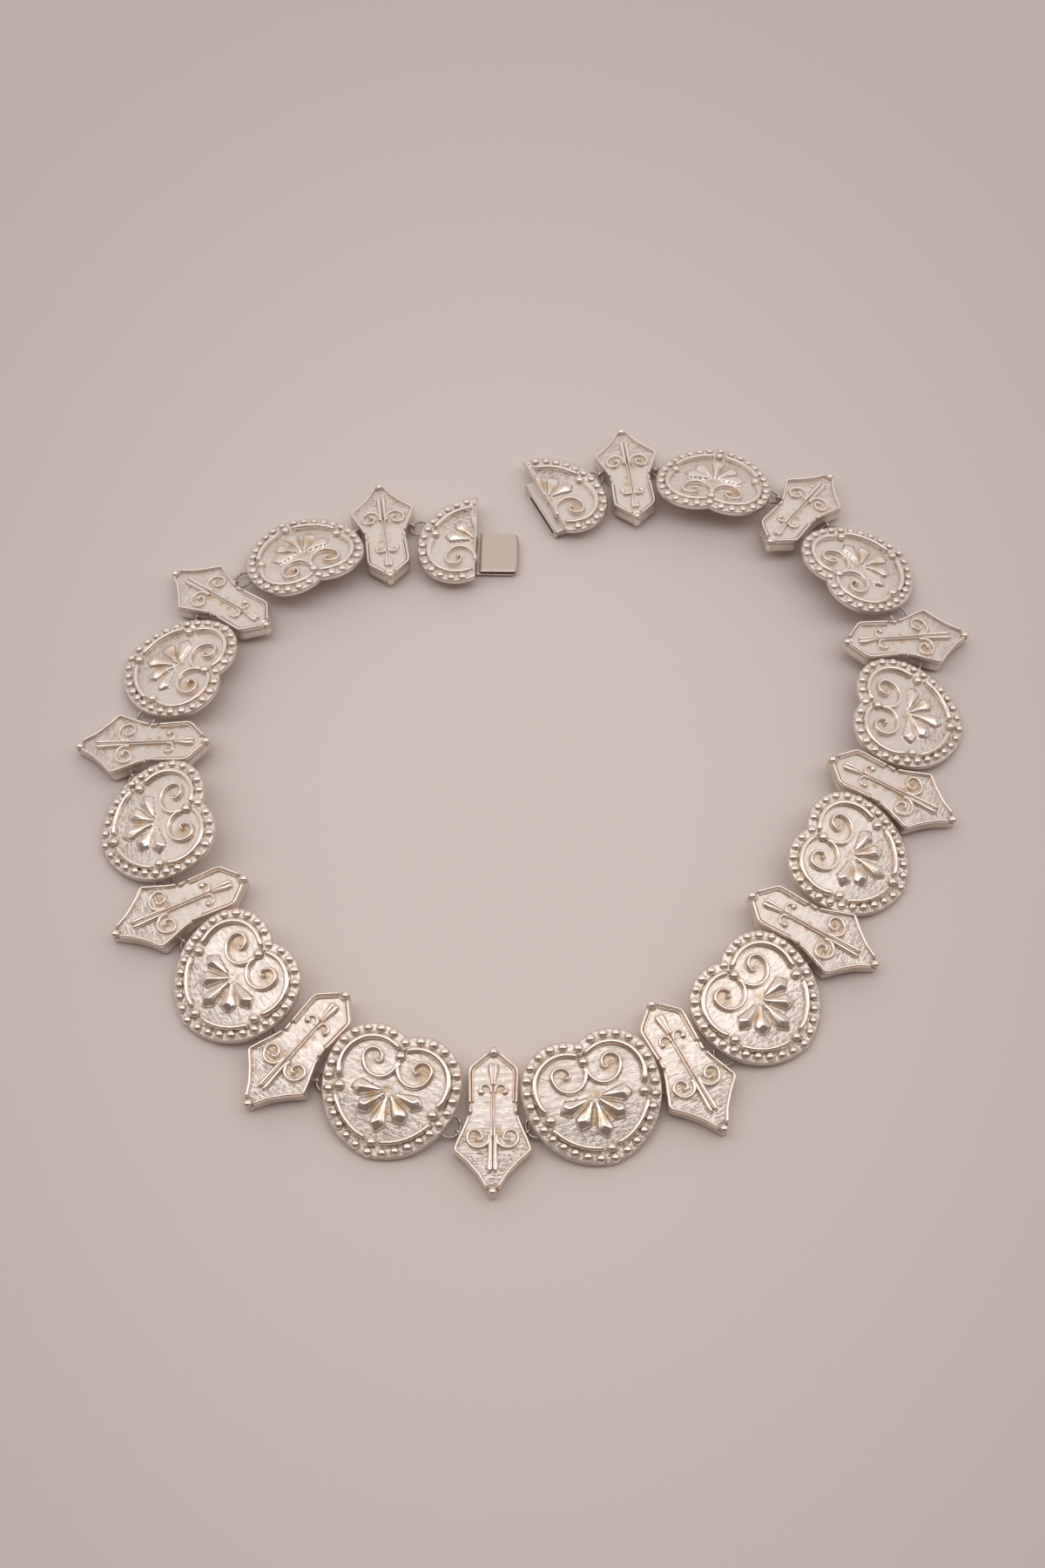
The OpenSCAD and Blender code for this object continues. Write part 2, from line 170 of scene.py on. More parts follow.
# Where on the floor a painted pool of light is brightest in mm, and how slowly it fades to the front and
# back
FADE_X, FADE_Y, FADE_SLOW = -5.0, -40.0, 0.6
# The room in m: where the ceiling begins, where its dim strip begins and ends and where the back wall
# stands, then its height and half its width. The dim strip has this share of the sky's power
EDGE, DIM, FAR, BACK = -0.19, 0.165, 0.62, 1.4
ROOM_HEIGHT, ROOM_HALF = 0.62, 1.0
DIM_SHARE = 0.6


def length_prop(name, description, mm):
    """A length, its default given in millimetres."""
    return FloatProperty(
        name=name, description=description, default=mm * MM, min=0, unit="LENGTH", precision=5)


def share_prop(name, description, value):
    """A share from 0 to 1."""
    return FloatProperty(name=name, description=description, default=value, min=0, max=1, subtype="FACTOR")


def colour_prop(name, description, *value):
    """A colour."""
    return FloatVectorProperty(
        name=name, description=description, default=value, min=0, max=1, subtype="COLOR")


def power_prop(name, place, value):
    """A light's power per square metre."""
    return FloatProperty(
        name=name, description=f"Power per square metre of the {place}", default=value, min=0)


class HeartSizes(bpy.types.PropertyGroup):
    lobe_radius: length_prop("Lobe radius", "Radius of each lobe of the outline", 7.62)
    lobe_offset: length_prop("Lobe offset", "How far each lobe's centre stands to the side and up", 4.2)
    side_radius: length_prop("Side radius", "Radius of the long curve from a lobe to the tip", 13.02)
    side_turn: FloatProperty(
        name="Side turn", description="Angle at which a lobe runs into the long curve",
        default=math.radians(17), unit="ROTATION")
    plate: length_prop("Plate", "Thickness of the plate at its border", 1.1)
    relief: length_prop("Relief", "Height of the relief over the back", 1.78)
    bead: length_prop("Border bead", "Radius of the small beads round the border", 0.82)
    big_bead: length_prop("Big bead", "Radius of the beads where the rim's arcs meet", 0.88)
    petal_length: length_prop("Petal length", "Length of the middle petal", 7.1)
    petal_half: length_prop("Petal half width", "Half the width of a petal at its broad end", 1.36)


class ShieldSizes(bpy.types.PropertyGroup):
    ground: length_prop("Ground", "Height of the ground over the back", 2.4)
    rim: length_prop("Rim height", "Height of the rim over the back", 3.1)
    bead: length_prop("End bead", "Radius of the beads at the two points", 0.74)


class ClaspSizes(bpy.types.PropertyGroup):
    lift: length_prop("Lift", "Height at which the two half hearts lie", 2.4)
    tongue_length: length_prop("Tongue length", "Reach of the spring tongue from the cut edge", 8.5)
    tongue_width: length_prop("Tongue width", "Width of the spring tongue", 10)
    leaf: length_prop("Leaf", "Thickness of the tongue's leaf", 0.5)


class LinkSizes(bpy.types.PropertyGroup):
    ring_radius: length_prop("Ring radius", "Radius of a jump ring to the middle of its wire", 1.9)
    ring_wire: length_prop("Ring wire", "Radius of a jump ring's wire", 0.28)
    eye_radius: length_prop("Eye radius", "Radius of a soldered eye to the middle of its wire", 0.6)
    eye_wire: length_prop("Eye wire", "Radius of an eye's wire", 0.22)


class SilverLook(bpy.types.PropertyGroup):
    silver: colour_prop("Silver", "Colour of the clean satin metal", 0.86, 0.772, 0.715)
    polished: colour_prop("Polished", "Colour of the crests that wear keeps bright", 0.97, 0.872, 0.805)
    # Painted reflection, not copper: this pink tint on the crests stands in for warm surroundings mirrored
    # in the metal
    blush: colour_prop("Blush", "Colour of the worn crests, where some copper shows", 0.93, 0.76, 0.66)
    tarnish: colour_prop("Tarnish", "Colour of the tarnish that gathers in the recesses", 0.76, 0.65, 0.49)
    patina: colour_prop("Patina", "Colour of the golden patches round the relief", 0.66, 0.46, 0.27)
    # The dirt colour is real dirt at the relief's foot and in specks, and painted shade in the scratches'
    # grooves and on the jump rings
    dirt: colour_prop("Dirt", "Colour of the darkest lines at the foot of the relief", 0.30, 0.22, 0.15)
    sheet: colour_prop("Sheet", "Colour of the dull sheet of the clasp's tongue", 0.72, 0.605, 0.535)
    tarnish_amount: share_prop("Tarnish amount", "How much of each recess is tarnished", 0.5)
    satin: share_prop("Satin roughness", "Roughness of the satin grounds", 0.34)
    polish: share_prop("Polish roughness", "Roughness of the polished beads and crests", 0.21)
    scratch_depth: length_prop("Scratch depth", "Depth of the scratches in the grounds", 0.2)


class StageLook(bpy.types.PropertyGroup):
    floor: colour_prop("Floor", "Colour of the seamless floor", 0.82, 0.724, 0.680)
    # The fade is painted light: it darkens the floor's colour away from the necklace, as a pool of light
    # would
    fade: share_prop("Fade", "Tone of the floor far from the necklace, against its middle", 0.75)
    fade_reach: length_prop("Fade reach", "How far off the floor is fully faded", 200)
    dusk: colour_prop("Dusk", "Colour of the dim room in front of the table", 0.19, 0.155, 0.137)
    ceiling: power_prop("Ceiling", "soft ceiling over the necklace", 4.6)
    sky: power_prop("Sky", "soft ceiling behind the necklace", 2.4)
    walls: power_prop("Walls", "soft walls", 1.4)


class InMillimetres:
    """Gives the lengths of a group of sizes in millimetres, the unit of the panels' drawings."""

    def __init__(self, name):
        self.group = getattr(bpy.context.scene, "necklace_" + name)

    def __getattr__(self, name):
        return getattr(self.group, name) / MM


def placed(name, data):
    """A new object in the scene, with its data."""
    thing = bpy.data.objects.new(name, data)
    bpy.context.scene.collection.objects.link(thing)
    return thing


class Casting:
    """Gathers surfaces, drawn in a place's own axes or in the frame, with what the finish needs to know,
    and makes them one mesh. The more it is dulled, the weaker are its tarnish and its polished crests."""

    MARKS = ("recess", "crest", "scratch", "gold")
    MERGED = 0.002 * MM

    def __init__(self, place=None, dulled=0.0):
        self.place = place
        self.strength = {"recess": 1 - 0.6 * dulled, "crest": 1 - 0.8 * dulled}
        self.points, self.plan, self.faces, self.flat = [], [], [], []
        self.marks = {name: [] for name in self.MARKS}
        self.count = 0

    def add(self, local, faces, flat=(), in_frame=False, **marks):
        """Adds points of shape (n, 3) in the place's own axes or in the frame, faces as rows of indices,
        which of them are flat, and marks."""
        self.points.append(local if in_frame else self.place.to_frame(local))
        self.plan.append(local)
        self.flat += [len(self.faces) + index for index in flat]
        self.faces += (np.asarray(faces) + self.count).tolist()
        for name in self.MARKS:
            mark = self.strength.get(name, 1.0) * marks.get(name, 0.0)
            self.marks[name].append(np.broadcast_to(mark, len(local)))
        self.count += len(local)

    def piece(self, name, material, slot, *nodes):
        """One object of all that was added: doubled points are merged, so that seams and poles close."""
        mesh = bpy.data.meshes.new(name)
        mesh.from_pydata(np.concatenate(self.points) * MM, [], self.faces)
        for mark in self.MARKS:
            layer = mesh.attributes.new(mark, "FLOAT", "POINT")
            layer.data.foreach_set("value", np.concatenate(self.marks[mark]).astype(np.float32))
        layer = mesh.attributes.new("plan", "FLOAT_VECTOR", "POINT")
        layer.data.foreach_set("vector", np.concatenate(self.plan).astype(np.float32).ravel())
        smooth = np.ones(len(mesh.polygons), bool)
        smooth[self.flat] = False
        mesh.polygons.foreach_set("use_smooth", smooth)
        shape = bmesh.new()
        shape.from_mesh(mesh)
        bmesh.ops.remove_doubles(shape, verts=shape.verts, dist=self.MERGED)
        shape.to_mesh(mesh)
        shape.free()
        piece = placed(name, mesh)
        mesh.materials.append(material)
        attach(piece, "root")
        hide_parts(*nodes)
        return piece


def grid_faces(rows, columns):
    """Faces between neighbouring points of a grid, numbered row by row, facing the side from which
    the rows run up and the columns run right."""
    low = np.arange(rows * columns).reshape(rows, columns)
    corners = (low[:-1, :-1], low[:-1, 1:], low[1:, 1:], low[1:, :-1])
    return np.stack(corners, axis=-1).reshape(-1, 4)


def border(rows, columns):
    """Indices of a grid's border, once round against the clock and back to the first point."""
    low = np.arange(rows * columns).reshape(rows, columns)
    return np.concatenate([low[0, :-1], low[:-1, -1], low[-1, :0:-1], low[::-1, 0]])


def softly(low, high, value):
    """Soft step: 0 below low, 1 above high, and a cubic between them."""
    share = np.clip((value - low) / (high - low), 0, 1)
    return share * share * (3 - 2 * share)


def weld(under, over, fillet):
    """The higher of two heights, with a small fillet where they meet."""
    share = np.clip(0.5 + 0.5 * (over - under) / fillet, 0, 1)
    return under + (over - under) * share + fillet * share * (1 - share)


def spread(field, times):
    """A field blurred along its grid: each round averages every point with its four neighbours."""
    for _ in range(times):
        wide = np.pad(field, 1, mode="edge")
        beside = wide[:-2, 1:-1] + wide[2:, 1:-1] + wide[1:-1, :-2] + wide[1:-1, 2:]
        field = (field + beside) / 5
    return field


def unit(vectors):
    """Rows of vectors brought to a length of 1."""
    return vectors / np.linalg.norm(vectors, axis=1, keepdims=True)


def to_left(vectors):
    """Rows of vectors turned a quarter to the left."""
    return np.stack([-vectors[:, 1], vectors[:, 0]], 1)


def petal(u, v, turn, length, begin, half, low, high):
    """Height of a petal: a keystone roof with straight sides. Its ridge climbs to three quarters of
    the length, where one flat facet falls from it to the obtuse end. It is measured from the hub at the
    angle turn from straight down, and the metal begins at a share of the length."""
    turn, ridge, steep = math.radians(turn), 0.74, 6
    du, dv = u - HUB[0], v - HUB[1]
    along = (du * math.sin(turn) - dv * math.cos(turn)) / length
    across = np.abs(du * math.cos(turn) + dv * math.sin(turn))
    wide = half * np.interp(along, [begin, 0.34, 0.5, 0.8, 1.0], [0.16, 0.3, 0.52, 1.0, 0.2])
    rise = np.interp(along, [begin, 0.4, ridge], [0.3, 0.6, 1.0])
    roof = rise * (1 - 0.62 * np.clip(across / half, 0, 1))
    facet = 1 - 0.8 * (along - ridge) / (1 - ridge) - 0.12 * across / half
    top = low + (high - low) * np.minimum(roof, facet)
    beyond = np.clip(along - 1, 0, None) + np.clip(begin - along, 0, None)
    return top - steep * np.clip(across - wide, 0, None) - steep * length * beyond


def arc_wire(arcs, side, low, high, full):
    """A wire along a chain of arcs on the right half, side 1, or mirrored on the left one, side -1,
    with a point every nine degrees or so."""
    points, half = [], []
    for arc in arcs:
        count = 2 + int(abs(arc.end - arc.start) / 9)
        turn = np.radians(np.linspace(arc.start, arc.end, count))
        u, v = arc.x + arc.radius * np.cos(turn), arc.y + arc.radius * np.sin(turn)
        points.append(np.stack([side * u, v], 1)[len(points) > 0:])
        half.append(np.linspace(arc.first_width, arc.last_width, count)[len(half) > 0:] / 2)
    return Wire(np.concatenate(points), np.concatenate(half), low, high, full)


def station_wire(stations, side, low, high, full):
    """A straight wire or lobe through a few stations, on the right half or mirrored on the left one."""
    share = np.linspace(0, len(stations) - 1, 4 * len(stations) - 3)
    u, v, half = (np.interp(share, np.arange(len(stations)), column) for column in zip(*stations))
    return Wire(np.stack([side * u, v], 1), half, low, high, full)


def add_wire(casting, wire, level):
    """A wire laid on a face at a level: its ends are closed like balls and its foot is sunk."""
    end = np.radians([90, 65, 35])
    reach = np.concatenate([
        -np.sin(end) * wire.half[0], 0 * wire.half, np.sin(end[::-1]) * wire.half[-1]])
    scale = np.concatenate([np.cos(end), 0 * wire.half + 1, np.cos(end[::-1])])
    step = np.pad(unit(np.gradient(wire.path, axis=0)), ((3, 3), (0, 0)), "edge")
    path = np.pad(wire.path, ((3, 3), (0, 0)), "edge") + step * reach[:, None]
    half = np.pad(wire.half, 3, "edge") * scale
    roll = np.radians(np.linspace(0, 180, 9))
    rise = np.append(np.clip(np.sin(roll), 0, 1) ** wire.full, 0)
    across = np.append(np.cos(roll), 1)
    flat = path[:, None] + to_left(step)[:, None] * (half[:, None] * across)[:, :, None]
    z = wire.low + (wire.high - wire.low) * scale[:, None] ** 0.6 * rise
    local = np.concatenate([flat, z[:, :, None]], axis=2).reshape(-1, 3)
    over = local[:, 2] - level
    casting.add(local, grid_faces(*z.shape),
                recess=0.95 * np.clip(1 - over / 0.22, 0, 1), crest=softly(0.12, 0.45, over))


def covered(u, v, wires):
    """Height of the wires over a face, and far below it beside them."""
    height = np.full(u.shape, -1.0)
    for wire in wires:
        for (at_u, at_v), half in zip(wire.path, wire.half):
            near = np.hypot(u - at_u, v - at_v) < half
            height[near] = np.maximum(height[near], wire.high)
    return height


class HeartShape:
    """A heart's outline: two lobes, each running into a long curve down to the tip."""

    MIDDLE = np.array([0.0, 2.0])
    # Angles of the border's beads round a lobe and down a side
    LOBE_BEADS = np.radians(104 - 19.4 * np.arange(6))
    SIDE_BEADS = np.radians(1 - 10.7 * np.arange(8))

    def __init__(self):
        sizes = InMillimetres("heart")
        turn = sizes.group.side_turn
        self.lobe, self.side = sizes.lobe_radius, sizes.side_radius
        self.lobe_c = np.array([sizes.lobe_offset, sizes.lobe_offset])
        self.turn = np.array([math.cos(turn), math.sin(turn)])
        self.side_c = self.lobe_c - (self.side - self.lobe) * self.turn
        self.tip = self.side_c[1] - math.sqrt(self.side ** 2 - self.side_c[0] ** 2)

    def reach(self, angle):
        """Distance from the middle to the outline along a ray, by where it meets the lobe's circle
        above the turn and the side's circle below it."""
        ray = np.stack([np.abs(np.cos(angle)), np.sin(angle)])
        change = self.lobe_c + self.lobe * self.turn - self.MIDDLE
        below = ray[0] * change[1] > ray[1] * change[0]

        def meet(centre, radius):
            centre = centre - self.MIDDLE
            along = ray[0] * centre[0] + ray[1] * centre[1]
            return along + np.sqrt(along ** 2 - centre @ centre + radius ** 2)

        return np.where(below, meet(self.side_c, self.side), meet(self.lobe_c, self.lobe))

    def depth(self, u, v):
        """Distance inside the outline."""
        u = np.abs(u)
        below = (u - self.side_c[0]) * self.turn[1] > (v - self.side_c[1]) * self.turn[0]
        in_side = self.side - np.hypot(u - self.side_c[0], v - self.side_c[1])
        in_lobe = self.lobe - np.hypot(u - self.lobe_c[0], v - self.lobe_c[1])
        return np.where(below, in_side, in_lobe)

    def grid(self, count):
        """A square grid bent into a disc, each square ring a circle, and stretched to the outline."""
        line = np.linspace(-1, 1, count)
        a, b = np.meshgrid(line, line)
        wide = np.abs(a) > np.abs(b)
        radius = np.where(wide, a, b)
        size = np.where(radius == 0, 1, radius)
        turn = np.where(wide, b / size, 2 - a / size) * math.pi / 4
        x, y = radius * np.cos(turn), radius * np.sin(turn)
        stretch = self.reach(np.arctan2(y, x))
        return x * stretch + self.MIDDLE[0], y * stretch + self.MIDDLE[1]

    def border_beads(self, inset):
        """Middles of the border's beads: round each lobe, down each side, where they stand further in
        half way down, and one at the notch and at the tip."""
        lobe, side = self.LOBE_BEADS, self.SIDE_BEADS
        further = 0.2 + 0.3 * np.sin(np.linspace(0, math.pi, len(side)))
        reach = (self.side - inset - further)[:, None]
        right = np.concatenate([
            self.lobe_c + (self.lobe - inset) * np.stack([np.cos(lobe), np.sin(lobe)], 1),
            self.side_c + reach * np.stack([np.cos(side), np.sin(side)], 1)])
        return np.concatenate([right, right * [-1, 1], [NOTCH, [0, self.tip + inset + 0.05]]])


def shield_width(v):
    """Half the width of a shield at height v: the straight outline, with its corners eased by a mean of
    nearby heights, and a round tab at each end."""
    room = np.clip(np.minimum(v - SHIELD_V[0], SHIELD_V[-1] - v), 0, 1)
    shifts = np.linspace(-CORNER_EASE, CORNER_EASE, 7)
    eased = np.mean([np.interp(v + shift * room, SHIELD_V, SHIELD_U) for shift in shifts], axis=0)
    for end, inward in ((SHIELD_V[0], 1), (SHIELD_V[-1], -1)):
        off = v - (end + inward * TAB)
        eased = np.maximum(eased, np.sqrt(np.clip(TAB ** 2 - off ** 2, 0, None)))
    return np.where((v <= SHIELD_V[0]) | (v >= SHIELD_V[-1]), 0, eased)


def shield_depth(u, v):
    """Distance inside a shield's outline: a soft least of the distances to its straight edges, which
    rounds the contours at the corners."""
    u = np.abs(u)
    soft = 0.25
    total = np.zeros(u.shape)
    for a, b in zip(SHIELD_CORNERS[:-1], SHIELD_CORNERS[1:]):
        run = b - a
        along = np.clip(((u - a[0]) * run[0] + (v - a[1]) * run[1]) / (run @ run), 0, 1)
        gap = np.hypot(u - a[0] - along * run[0], v - a[1] - along * run[1])
        total += np.exp(-gap / soft)
    return np.clip(-soft * np.log(total), 0, None)


class Place:
    """Where a panel lies: its own width, height and outward axes, and its centre, in mm."""

    def __init__(self, panel, heart_tip, lift):
        heading, lean = math.radians(panel.heading), math.radians(panel.lean)
        (ch, sh), (cl, sl) = ((math.cos(angle), math.sin(angle)) for angle in (heading, lean))
        self.axes = np.array([[ch, sh, 0], [-sh * cl, ch * cl, sl], [sh * sl, -ch * sl, cl]])
        tip = SHIELD_V[0] if panel.kind == "shield" else heart_tip
        rise = lift if "half" in panel.kind else -sl * tip
        self.centre = np.array([panel.x + CENTRING[0], panel.y + CENTRING[1], rise])
        self.slope = math.tan(lean)

    def to_frame(self, local):
        return self.centre + np.asarray(local) @ self.axes

    def to_panel(self, point):
        return self.axes @ (np.asarray(point) - self.centre)

    def back_height(self, point):
        """Height of the panel's back over a point of the floor."""
        away = np.asarray(point) - self.centre
        flat = np.array([-self.axes[0][1], self.axes[0][0], 0])
        return self.centre[2] + self.slope * (away @ flat)


def places():
    """The places of all the panels, by name."""
    tip, lift = HeartShape().tip, InMillimetres("clasp").lift
    return {panel.name: Place(panel, tip, lift) for panel in PANELS}


def joined(index):
    """The two panels of a joint, the one at index and the next."""
    return PANELS[index], PANELS[(index + 1) % len(PANELS)]


def joint_eyes(index, spots):
    """Middles of a joint's two eyes: the shield's, midway between the floor and the heart's back, and
    the heart's, a ring's width away towards its volutes."""
    ring = InMillimetres("link").ring_radius
    pair = joined(index)
    side = 1 if pair[0].kind == "shield" else -1
    shield, heart = (spots[panel.name] for panel in pair[::side])
    flat = shield.to_frame([side * EYE_U, EYE_V, 0])
    rise = heart.back_height(flat) / 2 - flat[2]
    shield_eye = shield.to_frame([side * EYE_U, EYE_V, rise / shield.axes[2][2]])
    local = heart.to_panel(shield_eye)
    along = math.sqrt((2 * ring) ** 2 - (local[2] - EYE_DROP) ** 2)
    aim = EYE_AIM - local[:2]
    spot = local[:2] + along * aim / np.linalg.norm(aim)
    return shield_eye, heart.to_frame([spot[0], spot[1], EYE_DROP])


def add_wire_ring(casting, centre, first, second, radius, wire, sides, steps, **marks):
    """A torus: a circle of the wire's radius carried round a circle in the plane of two unit axes."""
    turn = np.linspace(0, 2 * math.pi, steps + 1)[:, None, None]
    roll = np.linspace(0, 2 * math.pi, sides + 1)[None, :, None]
    normal = np.cross(first, second)
    outward = np.cos(turn) * first + np.sin(turn) * second
    points = centre + outward * (radius + wire * np.cos(roll)) - normal * wire * np.sin(roll)
    casting.add(points.reshape(-1, 3), grid_faces(steps + 1, sides + 1), in_frame=True, **marks)


def add_eyes(casting, index, spots):
    """The two soldered eyes of a panel, upright rings in line with their joints."""
    link = InMillimetres("link")
    for joint in (index, (index - 1) % len(PANELS)):
        if joint not in JOINTS:
            continue
        shield_eye, heart_eye = joint_eyes(joint, spots)
        run = heart_eye - shield_eye
        along = np.array([run[0], run[1], 0]) / math.hypot(run[0], run[1])
        centre = shield_eye if PANELS[index].kind == "shield" else heart_eye
        add_wire_ring(casting, centre, along, np.array([0, 0, 1.0]), link.eye_radius, link.eye_wire,
                      sides=10, steps=24, recess=0.45, crest=0.3)


def add_plate(casting, u, v, z, marks):
    """A panel's plate: the grid of its face, a wall down from the grid's border, eased at its foot, and
    a flat back."""
    face = np.stack([u, v, z], -1).reshape(-1, 3)
    casting.add(face, grid_faces(*u.shape), **marks)
    loop = face[border(*u.shape)]
    inward = unit(HeartShape.MIDDLE - loop[:, :2]) * WALL_EASE
    share, height, pull, recess = (column[:, None] for column in WALL_LEVELS.T)
    wall = np.stack([
        loop[:, 0] + inward[:, 0] * pull, loop[:, 1] + inward[:, 1] * pull,
        share * loop[:, 2] + height * WALL_EASE], -1)
    casting.add(wall.reshape(-1, 3), grid_faces(*wall.shape[:2]), recess=np.repeat(recess, len(loop)))
    back = wall[0, :-1]
    casting.add(back, [np.arange(len(back))[::-1]], flat=[0], recess=0.1, scratch=0.5)


def add_beads(casting, beads, chance):
    """Round beads: a cap of a sphere on a short upright foot, turned about each bead's axis and closed
    below the plate's face. Their axes lean outwards, away from the panel's middle. Their sizes and
    heights differ a little, as hand-set grains do."""
    count = len(beads.middles)
    steep = math.radians(53)
    cap = np.linspace(0, steep, 4)
    out = np.concatenate([np.sin(cap) / math.sin(steep), [1, 0]])
    rise = np.concatenate([(np.cos(cap) - math.cos(steep)) / math.sin(steep), [-0.55, -0.55]])
    radii = np.broadcast_to(beads.radii, count) * chance.uniform(0.95, 1.05, count)
    lift = beads.base + chance.uniform(-0.04, 0.04, count)
    away = beads.middles - HeartShape.MIDDLE
    away = away / np.maximum(np.linalg.norm(away, axis=1, keepdims=True), 1e-6)
    tip = np.radians(np.broadcast_to(beads.lean, count))[:, None]
    outward = np.concatenate([away * np.cos(tip), -np.sin(tip)], axis=1)
    axis = np.concatenate([away * np.sin(tip), np.cos(tip)], axis=1)
    beside = np.cross(axis, outward)
    turn = np.linspace(0, 2 * math.pi, 11)
    ring = np.cos(turn)[:, None] * outward[:, None] + np.sin(turn)[:, None] * beside[:, None]
    shape = out[:, None, None] * ring[:, None] + rise[:, None, None] * axis[:, None, None]
    centre = np.concatenate([beads.middles, lift[:, None]], axis=1)
    local = (centre[:, None, None] + radii[:, None, None, None] * shape).reshape(-1, 3)
    one = grid_faces(len(out), len(turn))[:, ::-1]
    step = len(out) * len(turn)
    faces = (one[None] + (np.arange(count) * step)[:, None, None]).reshape(-1, 4)
    foot = np.tile(np.repeat(np.clip(0.45 - 1.6 * rise, 0, 1.2), len(turn)), count)
    casting.add(local, faces, recess=foot, crest=0.85)


def dome_height(u, v, beads):
    """Height of the beads over the plate, for finding the recesses round their feet."""
    height = np.full(u.shape, -1.0)
    for middle, radius in zip(beads.middles, beads.radii):
        away = np.hypot(u - middle[0], v - middle[1]) / radius
        dome = beads.base + radius * np.sqrt(np.clip(1 - away ** 2, 0, 1))
        height = np.maximum(height, np.where(away < 1, dome, -1))
    return height


def wander(u, v, chance, size):
    """A gentle unevenness: a sum of five long waves in chance directions."""
    field = np.zeros(u.shape)
    for _ in range(5):
        angle, phase = chance.uniform(0, math.pi), chance.uniform(0, 6.28)
        pitch = chance.uniform(0.35, 1.1)
        field += np.sin((u * math.cos(angle) + v * math.sin(angle)) * pitch + phase)
    return field * size / 5


def golden(u, v, spots, chance):
    """Where old tarnish has turned golden: round spots, each with its radius, mirrored on the left half,
    and each with its own chance strength."""
    field = np.zeros(u.shape)
    for at_u, at_v, radius in spots:
        for side in (-1, 1):
            away = np.hypot(u - side * at_u, v - at_v) / radius
            field = np.maximum(field, chance.uniform(0.3, 1.15) * np.exp(-away ** 2))
    return field.ravel()


def surface_marks(z, laid, ground, gold):
    """Where a face is hollow, proud, plain or golden: its height against two blurred copies of the face
    with all that is laid on it, one blurred a little and one much."""
    full = np.maximum(z, laid)
    near, far = spread(full, 8), spread(full, 45)
    hollow = np.clip((near - z - 0.06) / 0.4, 0, 1) * 0.7 + np.clip((far - z - 0.08) / 0.5, 0, 1) * 0.25
    proud = np.clip((z - near) / 0.1, 0, 1) * 0.6 + np.clip((z - far) / 0.3, 0, 1) * 0.6
    plain = 1 - softly(0.04, 0.2, z - ground)
    return {
        "recess": np.clip(hollow, 0, 1).ravel(), "crest": np.clip(proud, 0, 1).ravel(),
        "scratch": plain.ravel(), "gold": gold}


def add_relief(casting, face, ground, wires, level, beads, gold, chance):
    """A panel's plate with its marks, then its beads and the wires, whose feet darken near a level."""
    u, v, z = face
    laid = np.maximum(dome_height(u, v, beads), covered(u, v, wires))
    add_plate(casting, u, v, z, surface_marks(z, laid, ground, golden(u, v, gold, chance)))
    for wire in wires:
        add_wire(casting, wire, level)
    add_beads(casting, beads, chance)


def heart_face(u, v, shape, sizes, chance):
    """Height of a heart's face over its back: a plate eased at its edge and sunk inside the rim, with the
    palmette welded on. The ground without the palmette comes with it."""
    depth = shape.depth(u, v)
    ground = sizes.plate - 0.3 * softly(1.5, 2.2, depth) + wander(u, v, chance, 0.06)
    ground = ground + wander(2.6 * u, 5.5 * v, chance, 0.03)
    ground = ground - 0.28 * np.clip(1 - depth / 0.4, 0, 1) ** 2
    z = ground
    for turn, share, begin in PETAL_TURNS:
        for side in ((-1, 1) if turn else (1,)):
            z = weld(z, petal(u, v, side * turn, sizes.petal_length * share, begin,
                              sizes.petal_half, sizes.plate, sizes.relief + 0.2), fillet=0.04)
    return z, ground


def heart_wires(sizes, side):
    """The rim's two arcs, the volute and its knob on one half of a heart."""
    foot, top, full = 0.5 * sizes.plate, sizes.relief, 0.4
    knob = np.array([[side * KNOB[0], KNOB[1]], [side * KNOB[0] + 0.02, KNOB[1]]])
    return [
        *(arc_wire([arc], side, foot, top, full) for arc in HEART_RIM),
        arc_wire(HEART_VOLUTE, side, foot, top - 0.1, full),
        Wire(knob, np.full(2, 0.42), foot, top - 0.05, full)]


def add_heart(casting, chance, sides=(-1, 1)):
    """A heart panel, or the half of it on one side of a straight cut, which has a thin raised edge."""
    sizes, shape = InMillimetres("heart"), HeartShape()
    middle = HEART_CELLS // 2
    kept = slice(0 if -1 in sides else middle, None if 1 in sides else middle + 1)
    u, v = (line[:, kept] for line in shape.grid(HEART_CELLS + 1))
    z, ground = heart_face(u, v, shape, sizes, chance)
    small = shape.border_beads(BEAD_INSET)
    middles = np.concatenate([small, [CUSP, FOOT, FLANK, (-FLANK[0], FLANK[1])]])
    radii = np.concatenate([
        np.full(len(small), sizes.bead), sizes.big_bead * np.array([1, 0.9, 1, 1])])
    lean = np.where(np.arange(len(middles)) < len(small), BEAD_LEAN, 0)
    wires = [wire for side in sides for wire in heart_wires(sizes, side)]
    if len(sides) == 1:
        inside = middles[:, 0] * sides[0] > CUT_ROOM
        middles, radii, lean = middles[inside], radii[inside], lean[inside]
        half = np.full(30, CUT_HALF)
        line = np.linspace(shape.tip + CUT_FOOT, CUT_TOP, len(half))
        edge = np.stack([half * sides[0], line], 1)
        wires.append(Wire(edge, half, 0.5 * sizes.plate, sizes.plate + CUT_RISE, 0.5))
    beads = Beads(middles, radii, sizes.plate + 0.28, lean)
    add_relief(casting, (u, v, z), ground, wires, sizes.plate - 0.15, beads, HEART_GOLD, chance)


